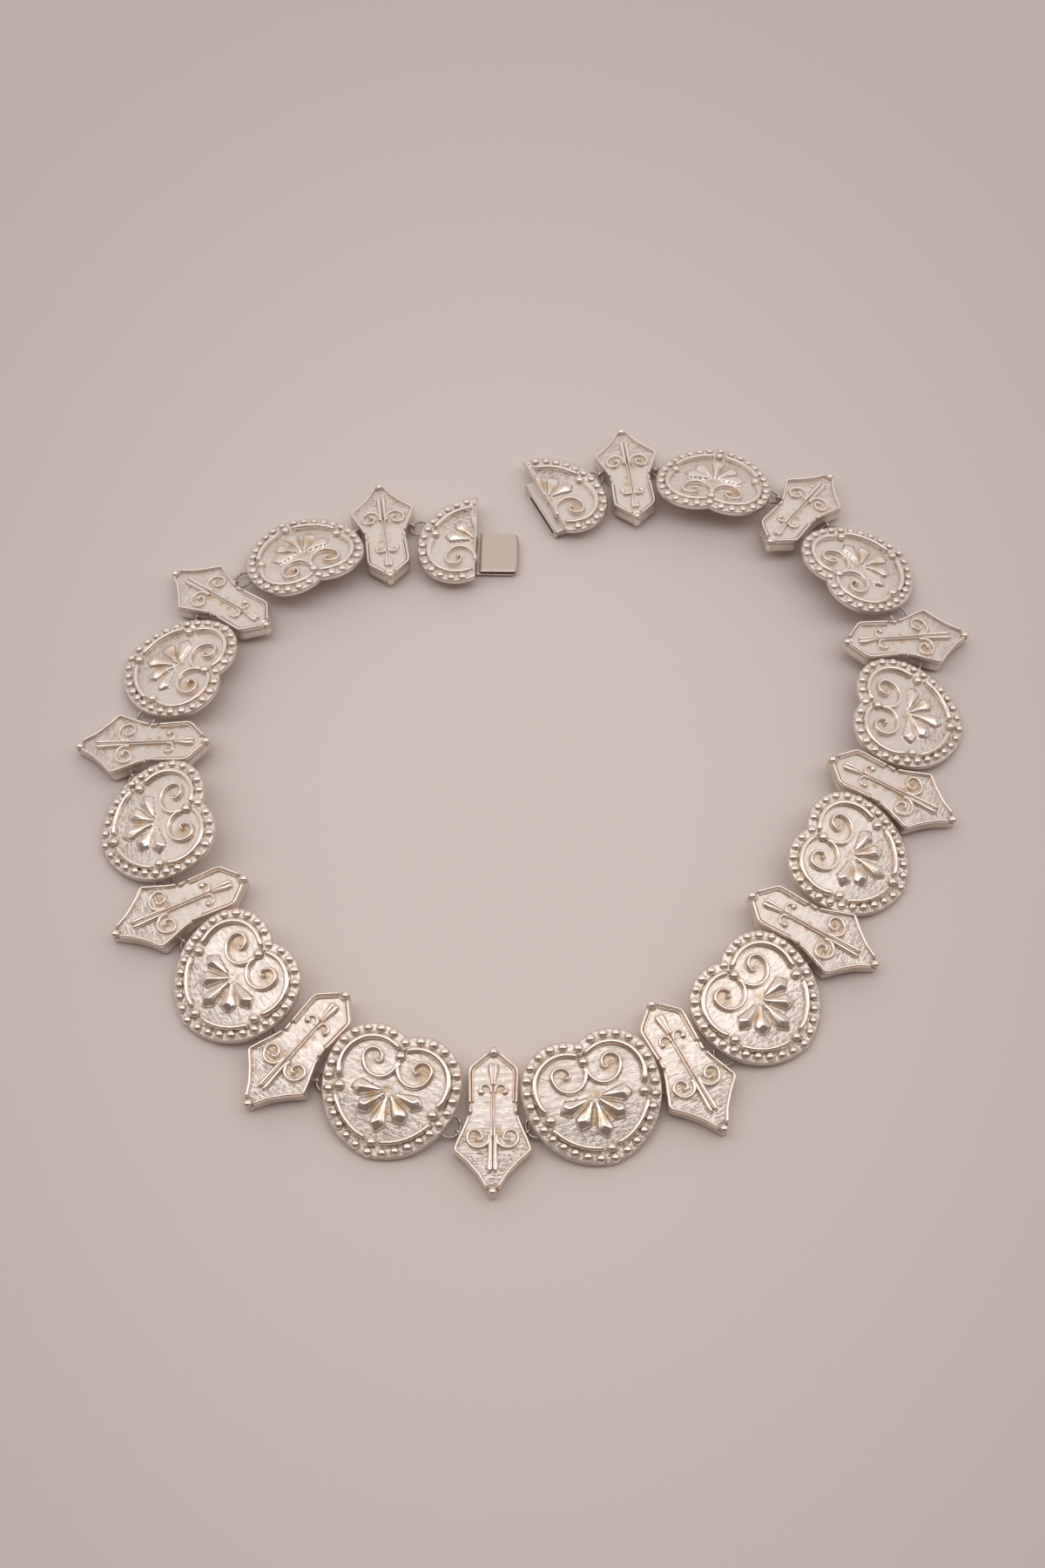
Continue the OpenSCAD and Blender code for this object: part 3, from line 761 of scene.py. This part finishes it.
def shield_line(inset):
    """The right half of a shield's outline moved inwards, as a dense path from the lower point to the
    upper one, with its corners eased by a mean of neighbouring points."""
    inward = to_left(unit(np.diff(SHIELD_CORNERS, axis=0)))
    before, after = inward[[0, *range(len(inward))]], inward[[*range(len(inward)), -1]]
    share = 1 + (before * after).sum(axis=1, keepdims=True)
    moved = SHIELD_CORNERS + inset * (before + after) / share
    gone = np.concatenate([[0], np.cumsum(np.linalg.norm(np.diff(moved, axis=0), axis=1))])
    even = np.arange(0, gone[-1], 0.22)
    line = np.stack([np.interp(even, gone, moved[:, 0]), np.interp(even, gone, moved[:, 1])], 1)
    padded = np.pad(line, ((2, 2), (0, 0)), "edge")
    return sum(padded[shift:len(line) + shift] for shift in range(5)) / 5


def end_gap(u, v):
    """Distance to the middle of the nearer of a shield's two end beads."""
    return np.minimum(np.hypot(u, v - END_BEADS[0]), np.hypot(u, v - END_BEADS[1]))


def shield_wires(sizes, side):
    """The wires and lobes on one half of a shield: the rim, double above the waist and broken at the tear
    and the end beads, then stem, scroll, volute, drops and tear."""
    high, foot, full = sizes.rim - 0.12, sizes.ground - 0.5, 0.45
    lobe = {"low": sizes.ground - 0.1, "high": sizes.ground + 0.68, "full": 0.85}
    wires = []
    outer = (0.29, 0.36, SHIELD_V[0], sizes.rim)
    inner = (0.86, 0.2, WAIST, sizes.rim - 0.15)
    for inset, half, low_v, top in (outer, inner):
        line = shield_line(inset)
        for keep in (line[:, 1] < WAIST - 1.25, line[:, 1] > WAIST + 1.2):
            part = line[keep & (end_gap(*line.T) > 1.2) & (line[:, 1] > low_v)]
            if len(part):
                wires.append(Wire(part * [side, 1], np.full(len(part), half), foot, top, full))
    return [
        *wires, station_wire(SHIELD_STEM, side, foot, high - 0.05, full),
        *(arc_wire(arcs, side, foot, high, full) for arcs in (SHIELD_SCROLL, SHIELD_VOLUTE)),
        *(station_wire(stations, side, **lobe) for stations in SHIELD_LOBES)]


def add_shield(casting, chance):
    """A shield panel: each row of its grid runs straight across from side to side."""
    sizes = InMillimetres("shield")
    share = np.linspace(0, 1, SHIELD_GRID[0])
    share = share - 0.25 * np.sin(2 * math.pi * share) / (2 * math.pi)
    rows = SHIELD_V[0] + (SHIELD_V[-1] - SHIELD_V[0]) * share
    u = shield_width(rows)[:, None] * np.linspace(-1, 1, SHIELD_GRID[1])
    v = np.broadcast_to(rows[:, None], u.shape)
    ground = sizes.ground + wander(u, v, chance, 0.05) + wander(1.8 * u, 6 * v, chance, 0.05)
    edge = np.clip(1 - shield_depth(u, v) / 0.25, 0, 1) ** 2
    z = ground - 0.3 * edge - 0.25 * (1 - softly(0.8, 1.3, end_gap(u, v)))
    middles = np.array([[0, END_BEADS[0]], [0, END_BEADS[1]], SCROLL_BALL, SCROLL_BALL * [-1, 1]])
    beads = Beads(middles, sizes.bead * np.array([1, 1, 0.8, 0.8]), sizes.ground + 0.25, 0.0)
    wires = shield_wires(sizes, -1) + shield_wires(sizes, 1)
    add_relief(casting, (u, v, z), ground, wires, sizes.ground, beads, SHIELD_GOLD, chance)


class Term:
    """A socket in a sum: each operator on terms and numbers adds its Math node, or its Vector Math node
    where the socket carries a vector or a colour."""

    def __init__(self, tree, socket):
        self.tree = tree
        self.socket = socket

    def worked(self, operation, other, reflected=False):
        """This term and the other one worked together, in that order unless they are reflected."""
        parts = (other, self) if reflected else (self, other)
        wide = any(isinstance(part, Term) and part.socket.type in ("VECTOR", "RGBA") for part in parts)
        node = self.tree.nodes.new("ShaderNodeVectorMath" if wide else "ShaderNodeMath")
        node.operation = operation
        for socket, part in zip(node.inputs, parts):
            if isinstance(part, Term):
                self.tree.links.new(part.socket, socket)
            else:
                socket.default_value = (part,) * 3 if wide else part
        return Term(self.tree, node.outputs[0])

    __add__ = partialmethod(worked, "ADD")
    __radd__ = partialmethod(worked, "ADD", reflected=True)
    __sub__ = partialmethod(worked, "SUBTRACT")
    __rsub__ = partialmethod(worked, "SUBTRACT", reflected=True)
    __mul__ = partialmethod(worked, "MULTIPLY")
    __rmul__ = partialmethod(worked, "MULTIPLY", reflected=True)


class Finish:
    """A material in the making: node() adds a node, and the other methods are mixtures of nodes."""

    def __init__(self, name):
        self.material = bpy.data.materials.new(name)
        self.material.use_nodes = True
        self.tree = self.material.node_tree
        self.tree.nodes.clear()

    def node(self, kind, inputs=None, output=0, **settings):
        """Adds a node: its settings first, then its sockets, by name or number."""
        node = self.tree.nodes.new(kind)
        for name, value in settings.items():
            setattr(node, name, value)
        for name, value in (inputs or {}).items():
            if isinstance(value, Term):
                self.tree.links.new(value.socket, node.inputs[name])
            else:
                node.inputs[name].default_value = value
        return Term(self.tree, node.outputs[output]) if node.outputs else None

    def place(self):
        """Where in the frame a point is, in mm."""
        return self.node("ShaderNodeTexCoord", output=3) * (1 / MM)

    def plan(self, *scale):
        """Where on its panel a point is, in mm, with its axes scaled."""
        plan = self.node("ShaderNodeAttribute", output=1, attribute_name="plan")
        return self.node("ShaderNodeMapping", {"Vector": plan, "Scale": scale}) if scale else plan

    def mark(self, name):
        """One of the mesh's marks."""
        return self.node("ShaderNodeAttribute", output=2, attribute_name=name)

    def noise(self, place, scale, detail=3, roughness=0.55, distortion=0):
        return self.node("ShaderNodeTexNoise", {
            "Vector": place, "Scale": scale, "Detail": detail, "Roughness": roughness,
            "Distortion": distortion})

    def step(self, value, low, high):
        """A soft step of a value between low and high, from 0 to 1."""
        return self.node("ShaderNodeMapRange", {
            "Value": value, "From Min": low, "From Max": high}, interpolation_type="SMOOTHSTEP")

    def mix(self, share, first, second):
        """A mixture of two colours."""
        first, second = (value if isinstance(value, Term) else (*value, 1) for value in (first, second))
        return self.node("ShaderNodeMix", {0: share, 6: first, 7: second}, 2, data_type="RGBA")

    def bump(self, height, strength, distance):
        return self.node("ShaderNodeBump", {"Strength": strength, "Distance": distance, "Height": height})

    def done(self, colour, roughness, normal, metallic=0.0):
        """The surface itself, and the material."""
        surface = self.node("ShaderNodeBsdfPrincipled", {
            "Base Color": colour, "Metallic": metallic, "Roughness": roughness, "Normal": normal})
        self.node("ShaderNodeOutputMaterial", {"Surface": surface})
        return self.material


def toned(share, colour):
    """A colour made darker by a share."""
    return [share * channel for channel in colour]


def cast_silver():
    """Satin cast silver: cloudy white metal, tarnish and dark lines gathered in the recesses, polished
    crests with spots of painted warm reflection on them, and fine wavy scratches in the grounds, whose
    grooves are darkened by tarnish and by painted shade."""
    look = bpy.context.scene.necklace_silver
    finish = Finish("cast_silver")
    place = finish.place()
    recess, crest, scratch, gold = (finish.mark(name) for name in Casting.MARKS)
    cloud = finish.noise(place, 0.22, 3)
    mottle = finish.noise(place, 1.3, 4, 0.6)
    grain = finish.noise(place, 5.5, 3, 0.6)

    stretched = finish.plan(0.8, 3.4, 1.0)
    strokes = finish.noise(stretched, 1.0, 4, 0.6, 0.9)
    fine = finish.noise(stretched, 2.8, 3, 0.6, 0.5)
    height = finish.node("ShaderNodeSeparateXYZ", {"Vector": finish.plan()}, output=1)
    depth = scratch * (0.28 + 0.7 * (1 - finish.step(height, -4.0, 0.5)))

    hollow = recess * (0.55 + 0.9 * mottle)
    stained = finish.step(hollow + cloud * 0.25, 0.26, 0.8) * look.tarnish_amount
    dark = finish.step(hollow, 0.75, 1.2)
    # Spots of painted warm reflection on the crests: a pink tint standing in for warm surroundings
    # mirrored in the metal
    reflection_spots = crest * finish.step(mottle * 0.6 + cloud * 0.6, 0.46, 0.68)
    haze = finish.step(mottle * 0.5 + cloud, 0.62, 0.95) * 0.3
    patch = finish.step(gold * (0.4 + 1.2 * mottle), 0.15, 0.95) * 0.75

    # The scratches' grooves: darkened with the dirt colour, as tarnish and as painted shade for the shade
    # inside them
    groove = finish.step(strokes + fine * 0.5, 0.72, 0.6) * depth
    speck = finish.step(grain, 0.42, 0.32) * scratch
    # Haze: random cloudy patches tinted towards a darker copy of the painted reflection's pink
    colour = finish.mix(haze, look.silver, toned(0.85, look.blush))
    for share, over in (
            (crest, look.polished), (reflection_spots * 0.7, look.blush), (stained, look.tarnish),
            (patch, look.patina), (dark * 0.4, look.dirt), (groove * 0.24, look.dirt),
            (speck * 0.14, look.dirt)):
        colour = finish.mix(share, colour, over)

    roughness = look.satin + (grain - 0.5) * 0.14 + (mottle - 0.5) * 0.12
    roughness = roughness - crest * (look.satin - look.polish) + stained * 0.1
    bark = (strokes + fine * 0.45) * depth * 0.5 - groove * 0.22
    normal = finish.bump(bark + grain * 0.06 + mottle * 0.05, 1.0, look.scratch_depth)
    return finish.done(colour, roughness, normal, 1 - stained * 0.35 - patch * 0.3 - dark * 0.3)


def drawn_silver():
    """Drawn silver wire: a soft shine, with fine wear and a thin tarnish. Its colour is darkened all over,
    and more in the tarnished patches, as painted shade for the shadow under the panels.
    """
    look = bpy.context.scene.necklace_silver
    finish = Finish("drawn_silver")
    place = finish.place()
    stained = finish.step(finish.noise(place, 1.6, 3), 0.4, 0.7) * 0.8
    wear = finish.noise(place, 9, 3)
    # Painted shade: the silver is darkened to seven tenths, and the patches take the dirt colour, for the
    # rings lie in the shadow under the panels
    colour = finish.mix(stained, toned(0.7, look.silver), toned(0.8, look.dirt))
    return finish.done(colour, 0.34 + (wear - 0.5) * 0.2, finish.bump(wear, 0.5, 0.02 * MM), 1.0)


def sheet_silver():
    """Rolled silver sheet, as in the clasp: plain satin with a fine brush along its width."""
    look = bpy.context.scene.necklace_silver
    finish = Finish("sheet_silver")
    recess, crest = finish.mark("recess"), finish.mark("crest")
    brush = finish.noise(finish.plan(7.0, 0.5, 1.0), 1.6, 3)
    mottle = finish.noise(finish.place(), 0.9, 4, 0.6)
    stained = finish.step(recess * (0.6 + 0.8 * mottle), 0.15, 0.7)
    colour = finish.mix(mottle, look.sheet, toned(0.92, look.sheet))
    colour = finish.mix(crest, colour, toned(0.9, look.silver))
    colour = finish.mix(stained * 0.6, colour, look.dirt)
    roughness = 0.46 + (mottle - 0.5) * 0.12 - crest * 0.1
    normal = finish.bump(brush + mottle * 0.4, 0.5, 0.012 * MM)
    return finish.done(colour, roughness, normal, 1 - stained * 0.3)


def table_paper():
    """The seamless floor: matt paper with a barely visible fibre, and a painted pool of light: its colour
    is brightest at its middle and fades darker away from it.
    """
    look = bpy.context.scene.necklace_stage
    finish = Finish("table_paper")
    place = finish.place()
    shrink = MM / look.fade_reach
    away = place - finish.node("ShaderNodeCombineXYZ", {"X": FADE_X, "Y": FADE_Y})
    away = away * finish.node("ShaderNodeCombineXYZ", {"X": shrink, "Y": FADE_SLOW * shrink})
    far = finish.node("ShaderNodeVectorMath", {0: away}, output=1, operation="LENGTH")
    # Painted pool of light: the colour darkens away from the floor's brightest spot
    colour = finish.mix(finish.step(far, 0.0, 1.0), look.floor, toned(look.fade, look.floor))
    return finish.done(colour, 0.9, finish.bump(finish.noise(place, 3, 3), 0.15, 0.02 * MM))


def material(maker):
    """A maker's material, made the first time it is asked for."""
    return bpy.data.materials.get(maker.__name__) or maker()


def dulled(panel):
    """How dull a panel is: the front ones are polished by wear and the ones at the clasp are not."""
    return float(softly(BRIGHT_Y, DULL_Y, panel.y))


def cast_panel(index, spots, add_face, *sides):
    """Casts a panel with its eyes in the place of its solid. Its chance is seeded, so that every run
    casts the same panel."""
    panel = PANELS[index]
    casting = Casting(spots[panel.name], dulled(panel))
    add_face(casting, np.random.default_rng(SEED + index), *sides)
    add_eyes(casting, index, spots)
    casting.piece(f"{panel.name}_cast", material(cast_silver), "silver", panel.name)


def cast_panels(kind, add_face):
    """Casts all the panels of a kind."""
    spots = places()
    for index, panel in enumerate(PANELS):
        if panel.kind == kind:
            cast_panel(index, spots, add_face)


class NECKLACE_OT_hearts(bpy.types.Operator):
    """Casts the heart panels in the places of their solids"""

    bl_idname = "necklace.hearts"
    bl_label = "Heart Panels"

    def execute(self, context):
        cast_panels("heart", add_heart)
        return {"FINISHED"}


class NECKLACE_OT_shields(bpy.types.Operator):
    """Casts the shield panels in the places of their solids"""

    bl_idname = "necklace.shields"
    bl_label = "Shield Panels"

    def execute(self, context):
        cast_panels("shield", add_shield)
        return {"FINISHED"}


def add_strip(casting, path, half_width, half_leaf, **marks):
    """A folded strip: a flat, round-edged section carried along a path in the plane across the cut. Far
    from the cut its middle bows outwards, and its edges are worn."""
    normal = to_left(unit(np.gradient(path, axis=0)))
    roll = np.linspace(0, 2 * math.pi, 41)
    side = np.sign(np.cos(roll)) * np.abs(np.cos(roll)) ** 0.35
    thick = np.sign(np.sin(roll)) * np.abs(np.sin(roll)) ** 0.6
    v = TONGUE_V + np.broadcast_to(half_width, len(path))[:, None] * side
    bow = 0.3 * (1 - side ** 2) * softly(-1, -8, path[:, :1])
    u = path[:, :1] + normal[:, :1] * half_leaf * thick - bow
    z = path[:, 1:] + normal[:, 1:] * half_leaf * thick
    local = np.stack([u, v, z], -1)
    lids = np.repeat(local[[0, -1]].mean(axis=1, keepdims=True), len(roll), axis=1)
    local = np.concatenate([lids[:1], local, lids[1:]]).reshape(-1, 3)
    worn = np.tile(softly(0.9, 1.0, np.abs(side)), len(path) + 2)
    casting.add(local, grid_faces(len(path) + 2, len(roll)),
                **{"recess": 0.25 * worn, "crest": 0.5 * worn, **marks})


def tongue_path(sizes):
    """The folded leaf's middle line: out along the lower leaf, round the fold and back above."""
    fold, middle = (TONGUE_HIGH - TONGUE_LOW) / 2, (TONGUE_HIGH + TONGUE_LOW) / 2
    radius = fold - sizes.leaf / 2
    turn_u = fold - sizes.tongue_length
    turn = np.radians(np.linspace(270, 90, 13))
    out, home = np.linspace(0.4, turn_u, 12)[:-1], np.linspace(turn_u, -0.8, 12)[1:]
    return np.concatenate([
        np.stack([out, np.full(len(out), middle - radius)], 1),
        np.stack([turn_u + radius * np.cos(turn), middle + radius * np.sin(turn)], 1),
        np.stack([home, np.full(len(home), middle + radius)], 1)])


def add_tongue(casting):
    """The spring tongue, its corners rounded at the fold, and the solder pad that holds it under the
    half heart."""
    sizes = InMillimetres("clasp")
    path = tongue_path(sizes)
    ease = np.clip((path[:, 0] + sizes.tongue_length) / 1.0, 0, 1)
    half = sizes.tongue_width / 2
    add_strip(casting, path, half - (1 - np.sqrt(1 - (1 - ease) ** 2)), sizes.leaf / 2)
    top = InMillimetres("heart").plate / 2
    middle = (TONGUE_LOW + top) / 2
    pad = np.array([[PAD_FROM, middle], [PAD_TO, middle]])
    add_strip(casting, pad, half, (top - TONGUE_LOW) / 2, recess=0.5)


def add_box(casting):
    """The catch box: its section carried along its width. The section has a slot towards the cut, which
    closes flat within the two end walls."""
    sizes, top = InMillimetres("clasp"), InMillimetres("heart").plate / 2
    lift, half = sizes.lift, sizes.tongue_width / 2 + 0.3
    front, depth, ease, wall, roof = 2.0, 7.0, 0.7, 0.35, -0.05
    low_v, high_v, end = -5.0, 9.3, 0.2
    turn = np.radians([0, 30, 60, 90])
    upper = np.stack([
        front - ease + ease * np.sin(turn[::-1]), roof - ease + ease * np.cos(turn[::-1])], 1)
    lower = np.stack([front - ease + ease * np.cos(turn), ease - lift - ease * np.sin(turn)], 1)
    outside = np.array([[-0.6, roof], [-0.6, top], [-depth, top], [-depth, -lift]])
    slot_low, slot_high, mouth = TONGUE_LOW - 0.05, TONGUE_HIGH + 0.05, front - 0.02
    cavity = np.array([
        [mouth, slot_low], [wall - depth, slot_low], [wall - depth, slot_high], [mouth, slot_high]])
    shut = np.stack([np.full(4, mouth), cavity[:, 1]], 1)
    centre = np.array([-2.5, -lift / 2])
    rows = []
    for at, hollow, shrink in (
            (low_v, shut, 0.2), (low_v + end, shut, 0), (TONGUE_V - half, shut, 0),
            (TONGUE_V - half, cavity, 0), (TONGUE_V + half, cavity, 0), (TONGUE_V + half, shut, 0),
            (high_v - end, shut, 0), (high_v, shut, 0.2)):
        section = np.concatenate([hollow, upper, outside, lower, hollow[:1]])
        section = section + (centre - section) * shrink * [0.06, 0.3]
        rows.append(np.stack([section[:, 0], np.full(len(section), at), section[:, 1]], 1))
    first, last = (np.broadcast_to(row.mean(axis=0), row.shape) for row in (rows[0], rows[-1]))
    local = np.stack([first, *rows, last])
    faces = grid_faces(*local.shape[:2])[:, ::-1]
    casting.add(local.reshape(-1, 3), faces, flat=range(len(faces)), crest=0.8)


class NECKLACE_OT_clasp(bpy.types.Operator):
    """Makes the clasp: two half hearts, the spring tongue and the box that takes it"""

    bl_idname = "necklace.clasp"
    bl_label = "Clasp"

    def execute(self, context):
        spots = places()
        halves = {"tongue half": (1, add_tongue), "box half": (-1, add_box)}
        for index, panel in enumerate(PANELS):
            if panel.kind in halves:
                side, add_catch = halves[panel.kind]
                cast_panel(index, spots, add_heart, (side,))
                catch, name = Casting(spots[panel.name]), panel.name.replace("half_", "catch_")
                add_catch(catch)
                catch.piece(name, material(sheet_silver), "silver", panel.name)
        return {"FINISHED"}


class NECKLACE_OT_links(bpy.types.Operator):
    """Bends the jump rings through the eyes of neighbouring panels"""

    bl_idname = "necklace.links"
    bl_label = "Jump Rings"

    def execute(self, context):
        spots = places()
        sizes = InMillimetres("link")
        for number, index in enumerate(JOINTS, 1):
            shield_eye, heart_eye = joint_eyes(index, spots)
            along = heart_eye - shield_eye
            along = along / np.linalg.norm(along)
            lean = sum(spots[panel.name].axes[2] for panel in joined(index))
            normal = lean - (lean @ along) * along
            normal = normal / np.linalg.norm(normal)
            casting = Casting()
            add_wire_ring(casting, (shield_eye + heart_eye) / 2, along, np.cross(normal, along),
                          sizes.ring_radius, sizes.ring_wire, sides=12, steps=48)
            name = f"link_{number}"
            casting.piece(f"{name}_ring", material(drawn_silver), "ring_silver", name)
        return {"FINISHED"}


def add_softbox(name, glow, width, height, place, aim):
    """A soft light of a width and height at a place, turned to what it lights. Its glow is the power of
    each square metre."""
    light = bpy.data.lights.new(name, "AREA")
    light.shape = "RECTANGLE"
    light.energy, light.size, light.size_y = glow * width * height, width, height
    lamp = placed(name, light)
    lamp.location = place
    towards = np.array(aim) - np.array(place)
    flat = math.hypot(towards[0], towards[1])
    turn = math.atan2(-towards[0], towards[1]) if flat else 0
    lamp.rotation_euler = (math.atan2(flat, -towards[2]), 0, turn)
    lamp.visible_camera = False


class NECKLACE_OT_stage(bpy.types.Operator):
    """Lays the floor and sets the lights and the camera"""

    bl_idname = "necklace.stage"
    bl_label = "Floor, Lights and Camera"

    def execute(self, context):
        look = context.scene.necklace_stage
        line = np.linspace(-FLOOR_HALF, FLOOR_HALF, FLOOR_LINES)
        x, y = np.meshgrid(line, line)
        mesh = bpy.data.meshes.new("floor")
        points = np.stack([x, y, np.zeros_like(x)], -1).reshape(-1, 3)
        mesh.from_pydata(points, [], grid_faces(*x.shape).tolist())
        mesh.materials.append(material(table_paper))
        floor = placed("floor", mesh)

        for name, glow, near, end in (
                ("ceiling", look.ceiling, EDGE, DIM), ("middle", DIM_SHARE * look.sky, DIM, FAR),
                ("sky", look.sky, FAR, BACK)):
            at = (near + end) / 2
            add_softbox(name, glow, 2 * ROOM_HALF, end - near, (0, at, ROOM_HEIGHT), (0, at, 0))
        high, half = ROOM_HEIGHT / 2, BACK / 2
        for name, width, place, aim in (
                ("back_wall", 2 * ROOM_HALF, (0, BACK, high), (0, 0, high)),
                ("left_wall", BACK, (-ROOM_HALF, half, high), (0, half, high)),
                ("right_wall", BACK, (ROOM_HALF, half, high), (0, half, high))):
            add_softbox(name, look.walls, width, ROOM_HEIGHT, place, aim)

        world = bpy.data.worlds.new("room")
        world.use_nodes = True
        world.node_tree.nodes["Background"].inputs["Color"].default_value = (*look.dusk, 1)
        context.scene.world = world

        data = bpy.data.cameras.new("camera")
        data.sensor_fit = "VERTICAL"
        data.sensor_height, data.sensor_width = SENSOR_HEIGHT, SENSOR_WIDTH
        data.lens = CAMERA_LENS
        data.clip_start = 0.01
        camera = placed("camera", data)
        tilt = math.radians(CAMERA_ELEVATION)
        off = np.array([0, -math.cos(tilt), math.sin(tilt)]) * CAMERA_DISTANCE
        camera.location = (CAMERA_AIM + off) * MM
        camera.rotation_euler = (math.pi / 2 - tilt, 0, 0)
        context.scene.camera = camera
        context.scene.view_settings.view_transform = "Standard"
        return {"FINISHED"}


class NECKLACE_PT_panel(bpy.types.Panel):
    """The necklace's sizes, looks and makers in the sidebar"""

    bl_idname = "NECKLACE_PT_panel"
    bl_label = "Panel Necklace"
    bl_space_type = "VIEW_3D"
    bl_region_type = "UI"
    bl_category = "Necklace"

    def draw(self, context):
        for pointer, group in GROUPS.items():
            box = self.layout.box()
            for name in group.__annotations__:
                box.prop(getattr(context.scene, pointer), name)
        for operator in OPERATORS:
            self.layout.operator(operator.bl_idname)


GROUPS = {
    "necklace_heart": HeartSizes,
    "necklace_shield": ShieldSizes,
    "necklace_clasp": ClaspSizes,
    "necklace_link": LinkSizes,
    "necklace_silver": SilverLook,
    "necklace_stage": StageLook,
}
OPERATORS = (
    NECKLACE_OT_hearts, NECKLACE_OT_shields, NECKLACE_OT_clasp, NECKLACE_OT_links, NECKLACE_OT_stage)


def register():
    for group in (*GROUPS.values(), *OPERATORS, NECKLACE_PT_panel):
        bpy.utils.register_class(group)
    for pointer, group in GROUPS.items():
        setattr(bpy.types.Scene, pointer, PointerProperty(type=group))


def unregister():
    for pointer in GROUPS:
        delattr(bpy.types.Scene, pointer)
    for group in (NECKLACE_PT_panel, *OPERATORS, *GROUPS.values()):
        bpy.utils.unregister_class(group)


def main():
    register()
    bpy.ops.necklace.hearts()
    bpy.ops.necklace.shields()
    bpy.ops.necklace.clasp()
    bpy.ops.necklace.links()
    bpy.ops.necklace.stage()


if __name__ == "__main__":
    main()
